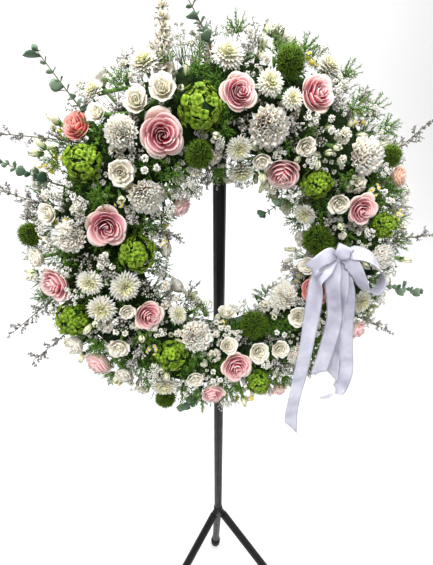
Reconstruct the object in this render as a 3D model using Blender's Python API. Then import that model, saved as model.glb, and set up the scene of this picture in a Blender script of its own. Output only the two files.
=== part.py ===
"""Funeral wreath on its stand, in metres, +Z up, resting on z = 0.

A ring of blooms and greenery leans on two pegs of a black tube pole, which a hub joins to
three legs.  A plastic tray holds a ring of floral foam, the greenery lies over the foam in
eight lengths, and the stems of the blooms stand in plain holes in it.  The wreath faces -Y.
"""
import math
import random

import bmesh
import bpy
import numpy as np
from mathutils import Matrix, Vector

# Stand
POLE_PLACE = Vector((-0.0085, 0.1044, 0.0))
TUBE_RADIUS = 0.0125
TUBE_WALL = 0.0015
TUBE_SIDES = 10
FLAT = math.cos(math.pi / TUBE_SIDES)
HUB_HEIGHT = 0.345
HUB_RADIUS = 0.0155
POLE_START = 0.017
POLE_TOP = 1.612
LEG_START = 0.028
LEG_FEET = {"left": (-0.295, -0.195), "right": (0.250, -0.250), "back": (0.0, 0.045)}
FOOT_RADIUS = 0.0170
FOOT_HEIGHT = 0.024
FOOT_FLOOR = 0.006
SPIGOT_LENGTH = 0.030
PEG_RADIUS = 0.004
PEG_DEPTH = 0.012
GAP = 0.0003
TINY = 0.00012

# Ring
RING_LEAN = math.radians(7.0)
RING_FORWARD = 0.100
RING_HEIGHT = 1.366
RING_RADIUS = 0.214
TRAY_HALF = 0.0475
TRAY_BACK = -0.050
TRAY_RIM = -0.030
TRAY_WALL = 0.0022
FOAM_FRONT = 0.008
RING_STEPS = 24

# Planting: heads lie on a dome, greenery on a lower one
DOME_OUT = 0.112
DOME_FRONT = 0.085
SINK = 0.65
BED_OUT = 0.060
BED_FRONT = 0.033
BED_SIDE = -0.026
ROOT_OUT = 0.050
ROOT_FRONT = 0.0215
SECTORS = 8
SECTOR_ANGLE = 360.0 / SECTORS
SECTOR_MARGIN = 8.0
SECTOR_EDGE = 3.0
SECTOR_START = 11.0
SECTOR_GAP = 0.25
SECTOR_STEPS = 6
BED_CELLS = 6
BED_EDGE = -22.0
LEAF_LENGTHS = (0.034, 0.028, 0.022, 0.016, 0.010)
LEAF_CLEAR = 0.0012
NECK = 0.17
HEAD_GAP = 0.0012
RELAX_ROUNDS = 160
SEED = 41
FOOT = -3.0
# How many of a head's columns share one corner of its neck, by the head's sides
NECK_GROUPS = {5: 2, 8: 3, 10: 4, 12: 4}
STALK_RADIUS = 0.0009
BALL_RADIUS = 0.0042
SPRAY_CLEAR = 0.0024
SPRAY_RADII = (0.0015, 0.0014, 0.0012, 0.0010, 0.0008)
SPRAY_BITS = {"eucalyptus": 5, "lavender": 4}
BIT_CLEAR = 0.006
# Length, width and half thickness of a spray's leaves and of its flower clusters
BITS = {"eucalyptus": (0.019, 0.015, 0.0011), "lavender": (0.021, 0.007, 0.0026)}

COLOURS = {
    "stand": ((0.012, 0.011, 0.011), 0.38, 0.0),
    "rubber": ((0.02, 0.02, 0.02), 0.8, 0.0),
    "tray": ((0.03, 0.09, 0.035), 0.5, 0.0),
    "foam": ((0.06, 0.20, 0.07), 0.95, 0.0),
    "greenery": ((0.07, 0.20, 0.03), 0.6, 0.0),
    "rose": ((0.82, 0.40, 0.43), 0.55, 0.0),
    "carnation": ((0.90, 0.87, 0.78), 0.6, 0.0),
    "chrysanthemum": ((0.92, 0.92, 0.86), 0.6, 0.0),
    "lisianthus": ((0.93, 0.91, 0.86), 0.6, 0.0),
    "ribbon": ((0.86, 0.86, 0.93), 0.3, 0.0),
}

# Each bloom: node, kind, clock angle from the top as seen from the front, section angle from
# the outer rim (0) over the front (90) to the hole (180), and diameter in millimetres
BLOOMS = (
    ("rose_01", "rose", 331, 89, 60), ("rose_02", "rose", 0, 78, 46), ("rose_03", "rose", 22, 67, 50),
    ("rose_04", "rose", 32, 136, 54), ("rose_05", "rose", 70, 97, 47), ("rose_06", "rose", 292, 93, 57),
    ("rose_07", "rose", 268, 49, 49), ("rose_08", "rose", 244, 118, 46), ("rose_09", "rose", 182, 104, 54),
    ("rose_10", "rose", 236, 37, 48), ("rose_11", "rose", 192, 67, 44), ("rose_12", "rose", 117, 132, 52),
    ("rose_13", "rose", 312, 51, 38), ("rose_14", "rose", 66, 51, 34), ("rose_15", "rose", 126, 50, 42),
    ("rose_16", "rose", 314, 169, 38), ("rose_17", "rose", 164, 38, 34),
    ("carnation_1", "carnation", 324, 70, 40), ("carnation_2", "carnation", 12, 100, 56),
    ("carnation_3", "carnation", 52, 83, 54), ("carnation_4", "carnation", 286, 72, 45),
    ("carnation_5", "carnation", 309, 114, 47), ("carnation_6", "carnation", 210, 133, 54),
    ("carnation_7", "carnation", 136, 157, 52), ("carnation_8", "carnation", 94, 74, 47),
    ("chrysanthemum_1", "mum", 334, 38, 40), ("chrysanthemum_1", "mum", 322, 30, 30),
    ("chrysanthemum_2", "mum", 356, 52, 45), ("chrysanthemum_3", "mum", 8, 75, 38),
    ("chrysanthemum_3", "mum", 17, 82, 30), ("chrysanthemum_4", "mum", 25, 42, 40),
    ("chrysanthemum_5", "mum", 3, 147, 44), ("chrysanthemum_5", "mum", 358, 120, 38),
    ("chrysanthemum_6", "mum", 266, 110, 48), ("chrysanthemum_6", "mum", 258, 85, 46),
    ("chrysanthemum_6", "mum", 268, 84, 40), ("chrysanthemum_7", "mum", 113, 78, 46),
    ("chrysanthemum_8", "mum", 213, 66, 50),
    ("lisianthus_1", "lisianthus", 328, 58, 34), ("lisianthus_1", "lisianthus", 336, 66, 34),
    ("lisianthus_1", "lisianthus", 319, 60, 26), ("lisianthus_2", "lisianthus", 309, 88, 35),
    ("lisianthus_3", "lisianthus", 276, 36, 31), ("lisianthus_3", "lisianthus", 289, 52, 30),
    ("lisianthus_4", "lisianthus", 246, 35, 38), ("lisianthus_4", "lisianthus", 229, 58, 30),
    ("lisianthus_5", "lisianthus", 160, 107, 34), ("lisianthus_5", "lisianthus", 169, 111, 38),
    ("lisianthus_6", "lisianthus", 138, 130, 38), ("lisianthus_7", "lisianthus", 62, 112, 34),
)
# Heads that grow in one body with the greenery of their length
FILLERS = (
    ("hydrangea", 341, 84, 56), ("hydrangea", 306, 66, 47), ("hydrangea", 46, 118, 46),
    ("hydrangea", 280, 118, 56), ("hydrangea", 256, 58, 52), ("hydrangea", 219, 104, 50),
    ("hydrangea", 173, 78, 44), ("hydrangea", 80, 77, 40),
    ("greenball", 14, 54, 44), ("greenball", 58, 54, 36), ("greenball", 281, 20, 38),
    ("greenball", 168, 146, 56), ("greenball", 84, 145, 58), ("greenball", 208, 34, 42),
    ("greenball", 338, 116, 42),
    ("lisianthus", 10, 123, 28), ("lisianthus", 28, 106, 30), ("lisianthus", 240, 79, 34),
    ("lisianthus", 253, 103, 26), ("lisianthus", 276, 172, 32), ("lisianthus", 187, 121, 33),
    ("lisianthus", 105, 147, 33), ("lisianthus", 203, 88, 33), ("lisianthus", 188, 168, 34),
    ("mum", 63, 152, 40), ("mum", 230, 141, 36), ("carnation", 154, 97, 40),
)
FERNS = (
    (330, 44), (348, 63), (303, 40), (328, 111), (31, 29), (38, 57), (53, 24), (1, 14), (20, 30),
    (50, 104), (300, 83), (262, 16), (244, 62), (217, 158), (184, 76), (106, 79), (150, 60), (122, 95),
)
BABYS_BREATH = (
    (297, 60), (276, 95), (249, 90), (319, 97), (33, 86), (2, 38), (70, 78), (155, 125), (196, 142),
    (195, 92), (100, 55),
)
BUDS = (
    (311, 26), (347, 102), (38, 94), (16, 140), (304, 96), (239, 101), (73, 119), (152, 140), (180, 62),
    (96, 40),
)
# Sprays that reach past the blooms: kind, clock, tip's distance from the ring's centre, tip's
# distance in front of the ring's middle plane
SPRAYS = (
    ("lavender", 311, 0.362, 0.03), ("lavender", 336, 0.352, 0.03), ("lavender", 59, 0.362, 0.03),
    ("lavender", 89, 0.368, 0.04), ("lavender", 122, 0.385, 0.01), ("lavender", 291, 0.352, 0.03),
    ("lavender", 265, 0.366, 0.03), ("lavender", 255, 0.378, 0.02), ("lavender", 222, 0.096, 0.01),
    ("lavender", 291, 0.105, 0.02), ("lavender", 104, 0.100, 0.02),
    ("eucalyptus", 328, 0.371, 0.03), ("eucalyptus", 297, 0.354, 0.03), ("eucalyptus", 354, 0.352, 0.03),
    ("eucalyptus", 107, 0.386, 0.03), ("eucalyptus", 45, 0.078, 0.0), ("eucalyptus", 197, 0.345, 0.0),
)
EXTRA_ROWS = ((-10, 7), (192, 4))
EXTRA_DIAMETER = 0.040
FERN_DIAMETER = 0.036
BREATH_DIAMETER = 0.030
BUD_DIAMETER = 0.015
BREATH_BALLS = 3
BALL_ROOM = 0.0048
BALL_CLAIM = 0.0045
FORK_SHARE = 0.55
STEM_CLEAR = 0.0022

# Ribbon, in the ring's own plane: right, up and forward from the ring's centre
RIBBON_WIDTH = 0.025
RIBBON_THICK = 0.0009
RIBBON_PINCH = 0.25
KNOT = (0.136, 0.010, 0.106)
KNOT_SECTION = 118.0
KNOT_SIZE = 0.016
KNOT_HALF = (0.011, 0.008, 0.013)
KNOT_STEM = 0.0016
KNOT_CLEAR = 0.0018
# Each run: its name, how far its end is cut aslant, and its places with the way that its width points there
RIBBON_RUNS = (
    ("left_loop", 0.0, (
        ((0.134, 0.009, 0.110), (-0.10, 1.00, 0.00)), ((0.112, 0.018, 0.122), (-0.35, 0.93, 0.00)),
        ((0.093, 0.012, 0.128), (-0.60, 0.75, 0.20)), ((0.087, 0.001, 0.121), (-0.70, 0.70, 0.10)),
        ((0.100, -0.004, 0.112), (-0.60, 0.75, 0.00)), ((0.136, 0.006, 0.106), (-0.10, 1.00, 0.00)))),
    ("middle_loop", 0.0, (
        ((0.137, 0.006, 0.109), (0.85, -0.50, 0.00)), ((0.131, 0.018, 0.125), (0.88, -0.45, 0.10)),
        ((0.136, 0.029, 0.124), (0.90, -0.42, 0.10)), ((0.142, 0.026, 0.114), (0.90, -0.42, 0.10)),
        ((0.140, 0.008, 0.105), (0.85, -0.50, 0.00)))),
    ("right_loop", 0.0, (
        ((0.138, 0.007, 0.110), (0.50, 0.80, 0.30)), ((0.150, 0.003, 0.117), (0.55, 0.75, 0.35)),
        ((0.166, -0.019, 0.120), (0.35, 0.35, 0.87)), ((0.182, -0.045, 0.119), (0.10, 0.15, 0.98)),
        ((0.197, -0.052, 0.118), (0.10, 0.10, 0.99)), ((0.209, -0.042, 0.118), (-0.15, 0.10, 0.98)),
        ((0.206, -0.020, 0.120), (-0.35, -0.10, 0.93)), ((0.184, 0.006, 0.121), (-0.35, -0.50, 0.80)),
        ((0.159, 0.016, 0.117), (-0.20, -0.60, 0.78)), ((0.140, 0.010, 0.107), (-0.10, -0.50, 0.85)))),
    ("tail_1", 0.038, (
        ((0.133, 0.006, 0.1095), (0.90, -0.30, 0.30)), ((0.114, -0.009, 0.1105), (0.50, -0.50, 0.70)),
        ((0.103, -0.024, 0.1105), (0.25, -0.10, 0.95)), ((0.103, -0.054, 0.109), (0.80, 0.00, 0.60)),
        ((0.100, -0.113, 0.107), (0.98, 0.00, 0.20)), ((0.097, -0.167, 0.104), (0.99, -0.05, 0.05)),
        ((0.089, -0.252, 0.098), (0.99, -0.10, 0.00)), ((0.086, -0.294, 0.095), (0.99, -0.10, 0.00)),
        ((0.088, -0.337, 0.092), (0.99, 0.00, 0.00)))),
    ("tail_2", -0.022, (
        ((0.135, 0.006, 0.107), (0.95, 0.00, 0.30)), ((0.130, -0.027, 0.109), (0.75, 0.10, 0.60)),
        ((0.136, -0.059, 0.108), (0.65, 0.10, 0.75)), ((0.143, -0.098, 0.106), (0.70, 0.20, 0.65)),
        ((0.139, -0.151, 0.103), (0.75, 0.20, 0.60)), ((0.130, -0.212, 0.098), (0.80, 0.25, 0.50)))),
    ("tail_3", 0.016, (
        ((0.138, 0.005, 0.104), (0.90, 0.00, 0.40)), ((0.148, -0.035, 0.1045), (0.70, 0.10, 0.70)),
        ((0.150, -0.070, 0.104), (0.40, 0.00, 0.91)), ((0.152, -0.114, 0.102), (0.35, 0.00, 0.93)),
        ((0.156, -0.167, 0.099), (0.40, 0.00, 0.91)), ((0.160, -0.228, 0.095), (0.45, 0.05, 0.89)))),
    ("tail_4", 0.018, (
        ((0.139, 0.006, 0.1015), (0.90, 0.10, 0.30)), ((0.157, -0.034, 0.1005), (0.65, 0.10, 0.75)),
        ((0.166, -0.067, 0.0995), (0.80, 0.10, 0.60)), ((0.171, -0.119, 0.098), (0.98, 0.10, 0.15)),
        ((0.179, -0.172, 0.0965), (0.95, 0.00, 0.20)), ((0.187, -0.226, 0.094), (0.85, 0.15, 0.30)),
        ((0.178, -0.264, 0.092), (0.60, 0.65, 0.30)), ((0.153, -0.281, 0.091), (0.05, 0.95, 0.20)))),
)

RADIAL_X = Vector((1.0, 0.0, 0.0))
RING_UP = Vector((0.0, math.sin(RING_LEAN), math.cos(RING_LEAN)))
RING_FACE = Vector((0.0, -math.cos(RING_LEAN), math.sin(RING_LEAN)))
RING_CENTRE = POLE_PLACE + Vector((0.0, -RING_FORWARD, RING_HEIGHT))


def ring_point(clock, out, front):
    """A place by clock angle (degrees), distance outwards from the tube's middle, and forwards."""
    angle = math.radians(clock)
    radial = RADIAL_X * math.sin(angle) + RING_UP * math.cos(angle)
    return RING_CENTRE + radial * (RING_RADIUS + out) + RING_FACE * front


def plane_point(right, up, front):
    return RING_CENTRE + RADIAL_X * right + RING_UP * up + RING_FACE * front


def ring_coordinates(place):
    """The reverse of ring_point."""
    offset = place - RING_CENTRE
    right = offset.dot(RADIAL_X)
    up = offset.dot(RING_UP)
    return math.degrees(math.atan2(right, up)), math.hypot(right, up) - RING_RADIUS, offset.dot(RING_FACE)


def section_place(clock, section, size):
    """A head's centre and the way it faces, with size its radius."""
    angle = math.radians(section)
    out = DOME_OUT - SINK * size
    front = DOME_FRONT - SINK * size
    centre = ring_point(clock, out * math.cos(angle), front * math.sin(angle))
    foot = ring_point(clock, 0.35 * out * math.cos(angle), 0.1 * front * math.sin(angle) - 0.01)
    return centre, (centre - foot).normalized()


def root_place(clock, section):
    """The blind end of a stem's hole in the greenery."""
    angle = math.radians(section)
    front = max(ROOT_FRONT * math.sin(angle), BED_SIDE + 0.008)
    return ring_point(clock, ROOT_OUT * math.cos(angle), front)


def remove_all():
    for thing in list(bpy.data.objects):
        bpy.data.objects.remove(thing, do_unlink=True)


def new_collection(name):
    collection = bpy.data.collections.new(name)
    bpy.context.scene.collection.children.link(collection)
    return collection


def make_material(name):
    colour, roughness, metallic = COLOURS[name]
    material = bpy.data.materials.new(name)
    material.use_nodes = True
    shader = material.node_tree.nodes["Principled BSDF"]
    shader.inputs["Base Color"].default_value = (*colour, 1.0)
    shader.inputs["Roughness"].default_value = roughness
    shader.inputs["Metallic"].default_value = metallic
    material.diffuse_color = (*colour, 1.0)
    return material


def object_from(bm, name, split=True):
    """An object from a mesh, its faces split into triangles where they aren't flat."""
    if split:
        bmesh.ops.triangulate(bm, faces=[face for face in bm.faces if len(face.verts) > 3])
    bmesh.ops.recalc_face_normals(bm, faces=bm.faces)
    if bm.calc_volume(signed=True) < 0.0:
        bmesh.ops.reverse_faces(bm, faces=bm.faces)
    mesh = bpy.data.meshes.new(name)
    bm.to_mesh(mesh)
    bm.free()
    thing = bpy.data.objects.new(name, mesh)
    WORK.objects.link(thing)
    return thing


def loft(rows, name, turned=(1, 3, 5, 7, 9, 11)):
    """A closed body through rings of equal count, with each side split in two along it, the turned sides
    along their other diagonal."""
    bm = bmesh.new()
    rings = [[bm.verts.new(place) for place in row] for row in rows]
    count = len(rings[0])
    for near, far in zip(rings, rings[1:]):
        for i in range(count):
            j = (i + 1) % count
            if i in turned:
                bm.faces.new((near[i], near[j], far[i]))
                bm.faces.new((near[j], far[j], far[i]))
            else:
                bm.faces.new((near[i], near[j], far[j]))
                bm.faces.new((near[i], far[j], far[i]))
    bm.faces.new(tuple(reversed(rings[0])))
    bm.faces.new(tuple(rings[-1]))
    return object_from(bm, name)


def side_vectors(direction):
    helper = Vector((0.0, 0.0, 1.0)) if abs(direction.z) < 0.9 else Vector((1.0, 0.0, 0.0))
    across = direction.cross(helper).normalized()
    return across, direction.cross(across).normalized()


def polygon(centre, direction, radius, sides, turn=0.0):
    across, along = side_vectors(direction)
    angles = [turn + 2 * math.pi * k / sides for k in range(sides)]
    return [centre + (across * math.cos(a) + along * math.sin(a)) * radius for a in angles]


def stem(places, radii, sides, name="stem"):
    rows = []
    for k, place in enumerate(places):
        before = places[max(k - 1, 0)]
        after = places[min(k + 1, len(places) - 1)]
        rows.append(polygon(place, (after - before).normalized(), radii[k], sides))
    return loft(rows, name)


def cylinder(start, end, radius, sides, name):
    """A primitive cylinder between two places, its ends left as single faces."""
    direction = end - start
    bm = bmesh.new()
    bmesh.ops.create_cone(bm, cap_ends=True, segments=sides, radius1=radius, radius2=radius,
                          depth=direction.length)
    turn = direction.to_track_quat("Z", "Y").to_matrix().to_4x4()
    bm.transform(Matrix.Translation((start + end) / 2) @ turn)
    return object_from(bm, name, False)


def turned(profile, start, direction, sides, name):
    """A closed profile of (distance from the axis, distance along it), turned right round."""
    across, along = side_vectors(direction)
    bm = bmesh.new()
    rings = []
    for k in range(sides):
        angle = 2 * math.pi * k / sides
        out = across * math.cos(angle) + along * math.sin(angle)
        rings.append([bm.verts.new(start + out * wide + direction * far) for wide, far in profile])
    count = len(profile)
    for near, far in zip(rings, rings[1:] + rings[:1]):
        for i in range(count):
            j = (i + 1) % count
            bm.faces.new((near[i], near[j], far[j], far[i]))
    return object_from(bm, name)


def tube(start, end, name):
    direction = end - start
    inside = TUBE_RADIUS - TUBE_WALL
    profile = ((TUBE_RADIUS, 0.0), (TUBE_RADIUS, direction.length), (inside, direction.length), (inside, 0.0))
    return turned(profile, start, direction.normalized(), TUBE_SIDES, name)


def closed_up(mesh):
    """Join the two ends of each tiny edge, wherever the body stays closed without it."""
    bm = bmesh.new()
    bm.from_mesh(mesh)
    if min(edge.calc_length() for edge in bm.edges) < TINY:
        bmesh.ops.triangulate(bm, faces=bm.faces)
        for edge in [edge for edge in bm.edges if edge.calc_length() < TINY]:
            if not edge.is_valid:
                continue
            first, second = edge.verts
            near = {other.other_vert(first) for other in first.link_edges}
            far = {other.other_vert(second) for other in second.link_edges}
            if len(near & far) == 2:
                bmesh.ops.pointmerge(bm, verts=[first, second], merge_co=first.co)
        bm.to_mesh(mesh)
    bm.free()


def combined(pieces, name, operation="UNION"):
    """One body: the first piece joined with, or cut by, the others."""
    base = pieces[0]
    if len(pieces) > 1:
        group = bpy.data.collections.new("join")
        for piece in pieces[1:]:
            WORK.objects.unlink(piece)
            group.objects.link(piece)
        modifier = base.modifiers.new("join", "BOOLEAN")
        modifier.operation = operation
        modifier.operand_type = "COLLECTION"
        modifier.collection = group
        modifier.solver = "MANIFOLD"
        bpy.context.view_layer.update()
        mesh = bpy.data.meshes.new_from_object(base.evaluated_get(bpy.context.evaluated_depsgraph_get()))
        closed_up(mesh)
        for piece in pieces:
            bpy.data.objects.remove(piece, do_unlink=True)
        bpy.data.collections.remove(group)
        base = bpy.data.objects.new(name, mesh)
        WORK.objects.link(base)
    return base


def finished(thing, name, material):
    """The piece under its own name, in the wreath's collection."""
    WORK.objects.unlink(thing)
    PARTS.objects.link(thing)
    thing.name = name
    thing.data.materials.clear()
    thing.data.materials.append(MATERIALS[material])
    return thing


# Head shapes, with radius 1 and the bloom facing +Z.  A row is (distance from the axis, height).
# The last row is the neck, and below it the head runs down to its stem's foot.
ROSE_ROWS = ((0.0, 0.50), (0.17, 0.62), (0.28, 0.34), (0.49, 0.54), (0.58, 0.20), (0.96, 0.26), (0.84, -0.14),
             (NECK, -0.66))
LISIANTHUS_ROWS = ((0.0, 0.36), (0.34, 0.10), (0.92, 0.46), (0.70, -0.08), (NECK, -0.58))
CARNATION_ROWS = ((0.0, 0.58), (0.42, 0.56), (0.80, 0.34), (0.90, 0.0), (NECK, -0.60))
MUM_ROWS = ((0.0, 0.34), (0.44, 0.30), (0.80, 0.02), (NECK, -0.50))
DOME_ROWS = ((0.0, 0.80), (0.50, 0.64), (0.84, 0.22), (0.74, -0.30), (NECK, -0.66))
BUD_ROWS = ((0.0, 1.0), (0.42, 0.45), (0.44, -0.25), (NECK, -0.85))


def turned_head(rows, sides, ripple):
    """A sphere whose rows take the profile's places, rippled by a formula."""
    bm = bmesh.new()
    steps = len(rows)
    bmesh.ops.create_uvsphere(bm, u_segments=sides, v_segments=steps, radius=1.0)
    for vertex in bm.verts:
        row = round(math.acos(max(-1.0, min(1.0, vertex.co.z))) / math.pi * steps)
        if row == steps:
            vertex.co = Vector((0.0, 0.0, FOOT))
            continue
        angle = math.atan2(vertex.co.y, vertex.co.x)
        column = round(angle / (2 * math.pi) * sides)
        out, height = rows[row]
        wide, raised = (1.0, 0.0) if row in (0, steps - 1) else ripple(row, column, angle)
        if row == steps - 1:
            group = NECK_GROUPS[sides]
            angle = 2 * math.pi * (column // group) * group / sides
        vertex.co = Vector((math.cos(angle) * out * wide, math.sin(angle) * out * wide, height + raised))
    bmesh.ops.remove_doubles(bm, verts=bm.verts, dist=1e-5)
    return bm


def rose_head():
    def ripple(row, column, angle):
        if row in (5, 6):
            return (1.03, 0.05) if column % 2 else (0.90, -0.03)
        return 1.0 + 0.04 * math.cos(3 * angle + row), 0.06 * math.cos(3 * angle + 1.3 * row)
    return turned_head(ROSE_ROWS, 10, ripple)


def lisianthus_head():
    def ripple(row, column, angle):
        if row == 2:
            return (1.05, 0.06) if column % 2 else (0.82, -0.02)
        return 1.0, 0.0
    return turned_head(LISIANTHUS_ROWS, 10, ripple)


def carnation_head():
    def ripple(row, column, angle):
        return (1.09, 0.09) if (row + column) % 2 else (0.88, -0.07)
    return turned_head(CARNATION_ROWS, 12, ripple)


def plain(row, column, angle):
    return 1.0, 0.0


def poked(bm, length, lowest):
    """Each face above a height drawn out to a point, by a share of its own size."""
    bmesh.ops.recalc_face_normals(bm, faces=bm.faces)
    faces = [face for face in bm.faces if min(vertex.co.z for vertex in face.verts) > lowest]
    bmesh.ops.poke(bm, faces=faces, offset=length)
    return bm


def mum_head():
    return poked(turned_head(MUM_ROWS, 10, plain), 0.24, -0.2)


def hydrangea_head():
    return poked(turned_head(DOME_ROWS, 8, plain), 0.16, -0.4)


def greenball_head():
    return poked(turned_head(DOME_ROWS, 8, plain), 0.22, -0.4)


def fern_head():
    bm = bmesh.new()
    bmesh.ops.create_icosphere(bm, subdivisions=1, radius=0.42)
    for vertex in bm.verts:
        vertex.co.z *= 1.3
    bmesh.ops.recalc_face_normals(bm, faces=bm.faces)
    foot = min(bm.verts, key=lambda vertex: vertex.co.z)
    upper = [face for face in bm.faces if foot not in face.verts]
    bmesh.ops.poke(bm, faces=upper, offset=0.60)
    foot.co = Vector((0.0, 0.0, FOOT))
    return bm


def bud_head():
    return turned_head(BUD_ROWS, 5, plain)


HEADS = {
    "rose": rose_head, "lisianthus": lisianthus_head, "carnation": carnation_head, "mum": mum_head,
    "hydrangea": hydrangea_head, "greenball": greenball_head, "fern": fern_head, "bud": bud_head,
}


def place_head(kind, centre, facing, size, spin, foot):
    """A head in its place, its stem drawn down to the foot."""
    bm = HEADS[kind]()
    lowest = min(bm.verts, key=lambda vertex: vertex.co.z)
    turn = facing.to_track_quat("Z", "Y").to_matrix().to_4x4()
    bm.transform(Matrix.Translation(centre) @ turn @ Matrix.Rotation(spin, 4, "Z") @ Matrix.Scale(size, 4))
    lowest.co = foot
    return object_from(bm, kind)


class Item:
    """One head or tuft: what it is, whose node it is in, and where it lies on the dome."""

    def __init__(self, node, kind, clock, section, diameter):
        self.node = node
        self.kind = kind
        self.clock = float(clock) % 360.0
        self.section = float(section)
        self.size = diameter / 2

    def centre(self):
        return section_place(self.clock, self.section, self.size)[0]

    def move_to(self, place):
        clock, out, front = ring_coordinates(place)
        self.clock = clock % 360.0
        angle = math.atan2(front / (DOME_FRONT - SINK * self.size), out / (DOME_OUT - SINK * self.size))
        section = math.degrees(angle)
        if section < -90:
            section += 360
        self.section = min(max(section, -16.0), 202.0)


def sector_of(clock):
    return int(((clock - SECTOR_START) % 360.0) // SECTOR_ANGLE)


def gather_items():
    millimetre = 0.001
    items = [Item(node, kind, clock, section, size * millimetre) for node, kind, clock, section, size in BLOOMS]
    items += [Item("", kind, clock, section, size * millimetre) for kind, clock, section, size in FILLERS]
    items += [Item("", "fern", clock, section, FERN_DIAMETER) for clock, section in FERNS]
    items += [Item("", "breath", clock, section, BREATH_DIAMETER) for clock, section in BABYS_BREATH]
    items += [Item("", "bud", clock, section, BUD_DIAMETER) for clock, section in BUDS]
    for section, count in EXTRA_ROWS:
        for k in range(count):
            kind = "fern" if k % 2 else "lisianthus"
            items.append(Item("", kind, 360.0 * (k + 0.5) / count + section, section, EXTRA_DIAMETER))
    clock = ring_coordinates(plane_point(*KNOT))[0]
    knot = Item("ribbon", "knot", clock, KNOT_SECTION, KNOT_SIZE)
    items.append(knot)
    return items


def relax(items):
    """Push heads apart along the dome until none overlap, each moving as little as it can."""
    radii = np.array([item.size for item in items])
    fixed = np.array([item.kind == "knot" for item in items])
    weight = radii ** 2
    weight[fixed] = 1.0
    limit = radii[:, None] + radii[None, :] + HEAD_GAP
    for _ in range(RELAX_ROUNDS):
        places = np.array([item.centre() for item in items])
        offset = places[:, None, :] - places[None, :, :]
        distance = np.linalg.norm(offset, axis=2) + 1e-9
        overlap = np.clip(limit - distance, 0.0, None)
        np.fill_diagonal(overlap, 0.0)
        if overlap.max() < 0.0002:
            break
        share = weight[None, :] / (weight[:, None] + weight[None, :])
        push = (offset / distance[:, :, None]) * (overlap * share * 0.55)[:, :, None]
        moved = places + push.sum(axis=1)
        for item, place, still in zip(items, moved, fixed):
            if not still:
                item.move_to(Vector(place))


class Claimed:
    """Balls that what has been placed already takes up, with the node that owns each."""

    def __init__(self):
        self.places = []
        self.radii = []
        self.owners = []

    def add(self, place, radius, owner):
        self.places.append(tuple(place))
        self.radii.append(radius)
        self.owners.append(owner)

    def add_run(self, start, end, radius, owner):
        count = max(2, int((end - start).length / 0.003))
        for k in range(count + 1):
            self.add(start.lerp(end, k / count), radius, owner)

    def room(self, places, owner=None):
        """The least distance from any of the places to what other nodes than the owner hold."""
        centres = np.array(self.places)
        radii = np.array(self.radii)
        others = np.array([other != owner for other in self.owners])
        points = np.array([tuple(place) for place in places])
        gaps = np.linalg.norm(points[:, None, :] - centres[None, others, :], axis=2) - radii[None, others]
        return gaps.min()


def curve_places(start, middle, end, count):
    places = []
    for k in range(count):
        t = k / (count - 1)
        places.append(start * (1 - t) ** 2 + middle * 2 * t * (1 - t) + end * t ** 2)
    return places


def bed_profile(clock):
    """The face of a length of greenery, an arch over the foam from one side to the other."""
    places = []
    for k in range(BED_CELLS + 1):
        angle = math.radians(BED_EDGE + k * (180.0 - 2 * BED_EDGE) / BED_CELLS)
        front = max(BED_FRONT * math.sin(angle), BED_SIDE)
        places.append(ring_point(clock, BED_OUT * math.cos(angle), front))
    return places


def bed_lining(clock):
    """The underside, a hair clear of the foam's front and of the tray's sides."""
    side = TRAY_HALF + GAP
    front = FOAM_FRONT + GAP
    return [ring_point(clock, out, height)
            for out, height in ((-side, BED_SIDE), (-side, front), (side, front), (side, BED_SIDE))]


def bed(sector, claimed):
    """The greenery's mat over the foam, each cell of its face drawn out to a leaf's point."""
    span = 360.0 / SECTORS
    first = SECTOR_START + sector * span
    step = span / SECTOR_STEPS
    clocks = [first + step * k for k in range(SECTOR_STEPS + 1)]
    trim = SECTOR_GAP / 2
    faces = [bed_profile(min(max(clock, first + trim), first + span - trim)) for clock in clocks]
    linings = [bed_lining(clock) for clock in clocks]
    for k in range(1, SECTOR_STEPS, 2):
        linings[k] = [(a + b) / 2 for a, b in zip(linings[k - 1], linings[k + 1])]
    share = trim / (2 * step)
    linings[0] = [a.lerp(b, share) for a, b in zip(linings[0], linings[2])]
    linings[-1] = [a.lerp(b, share) for a, b in zip(linings[-1], linings[-3])]
    bm = bmesh.new()
    rings = [[bm.verts.new(place) for place in face + lining] for face, lining in zip(faces, linings)]
    count = len(rings[0])
    cells = []
    for near, far in zip(rings, rings[1:]):
        for i in range(count):
            j = (i + 1) % count
            face = bm.faces.new((near[i], near[j], far[j], far[i]))
            if i < BED_CELLS:
                cells.append(face)
    bm.faces.new(tuple(reversed(rings[0])))
    bm.faces.new(tuple(rings[-1]))
    bmesh.ops.recalc_face_normals(bm, faces=bm.faces)
    for face in cells:
        centre = face.calc_center_median()
        normal = face.normal.copy()
        corners = [vertex.co.copy() for vertex in face.verts]
        for length in LEAF_LENGTHS:
            tip = centre + normal * length
            samples = [tip.lerp(corner, part) for corner in corners for part in (0.0, 0.25, 0.5, 0.75)]
            samples.append(centre)
            if claimed.room(samples) > LEAF_CLEAR:
                bmesh.ops.poke(bm, faces=[face], offset=length)
                break
    return object_from(bm, "bed")


def floret(start, tip, ball):
    """A thin three-sided stalk that swells to a small ball at its tip."""
    way = (tip - start).normalized()
    places = [start, tip - way * ball, tip, tip + way * ball * 0.8]
    radii = (STALK_RADIUS, STALK_RADIUS, ball, STALK_RADIUS)
    return loft([polygon(place, way, radius, 3) for place, radius in zip(places, radii)], "floret")


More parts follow.
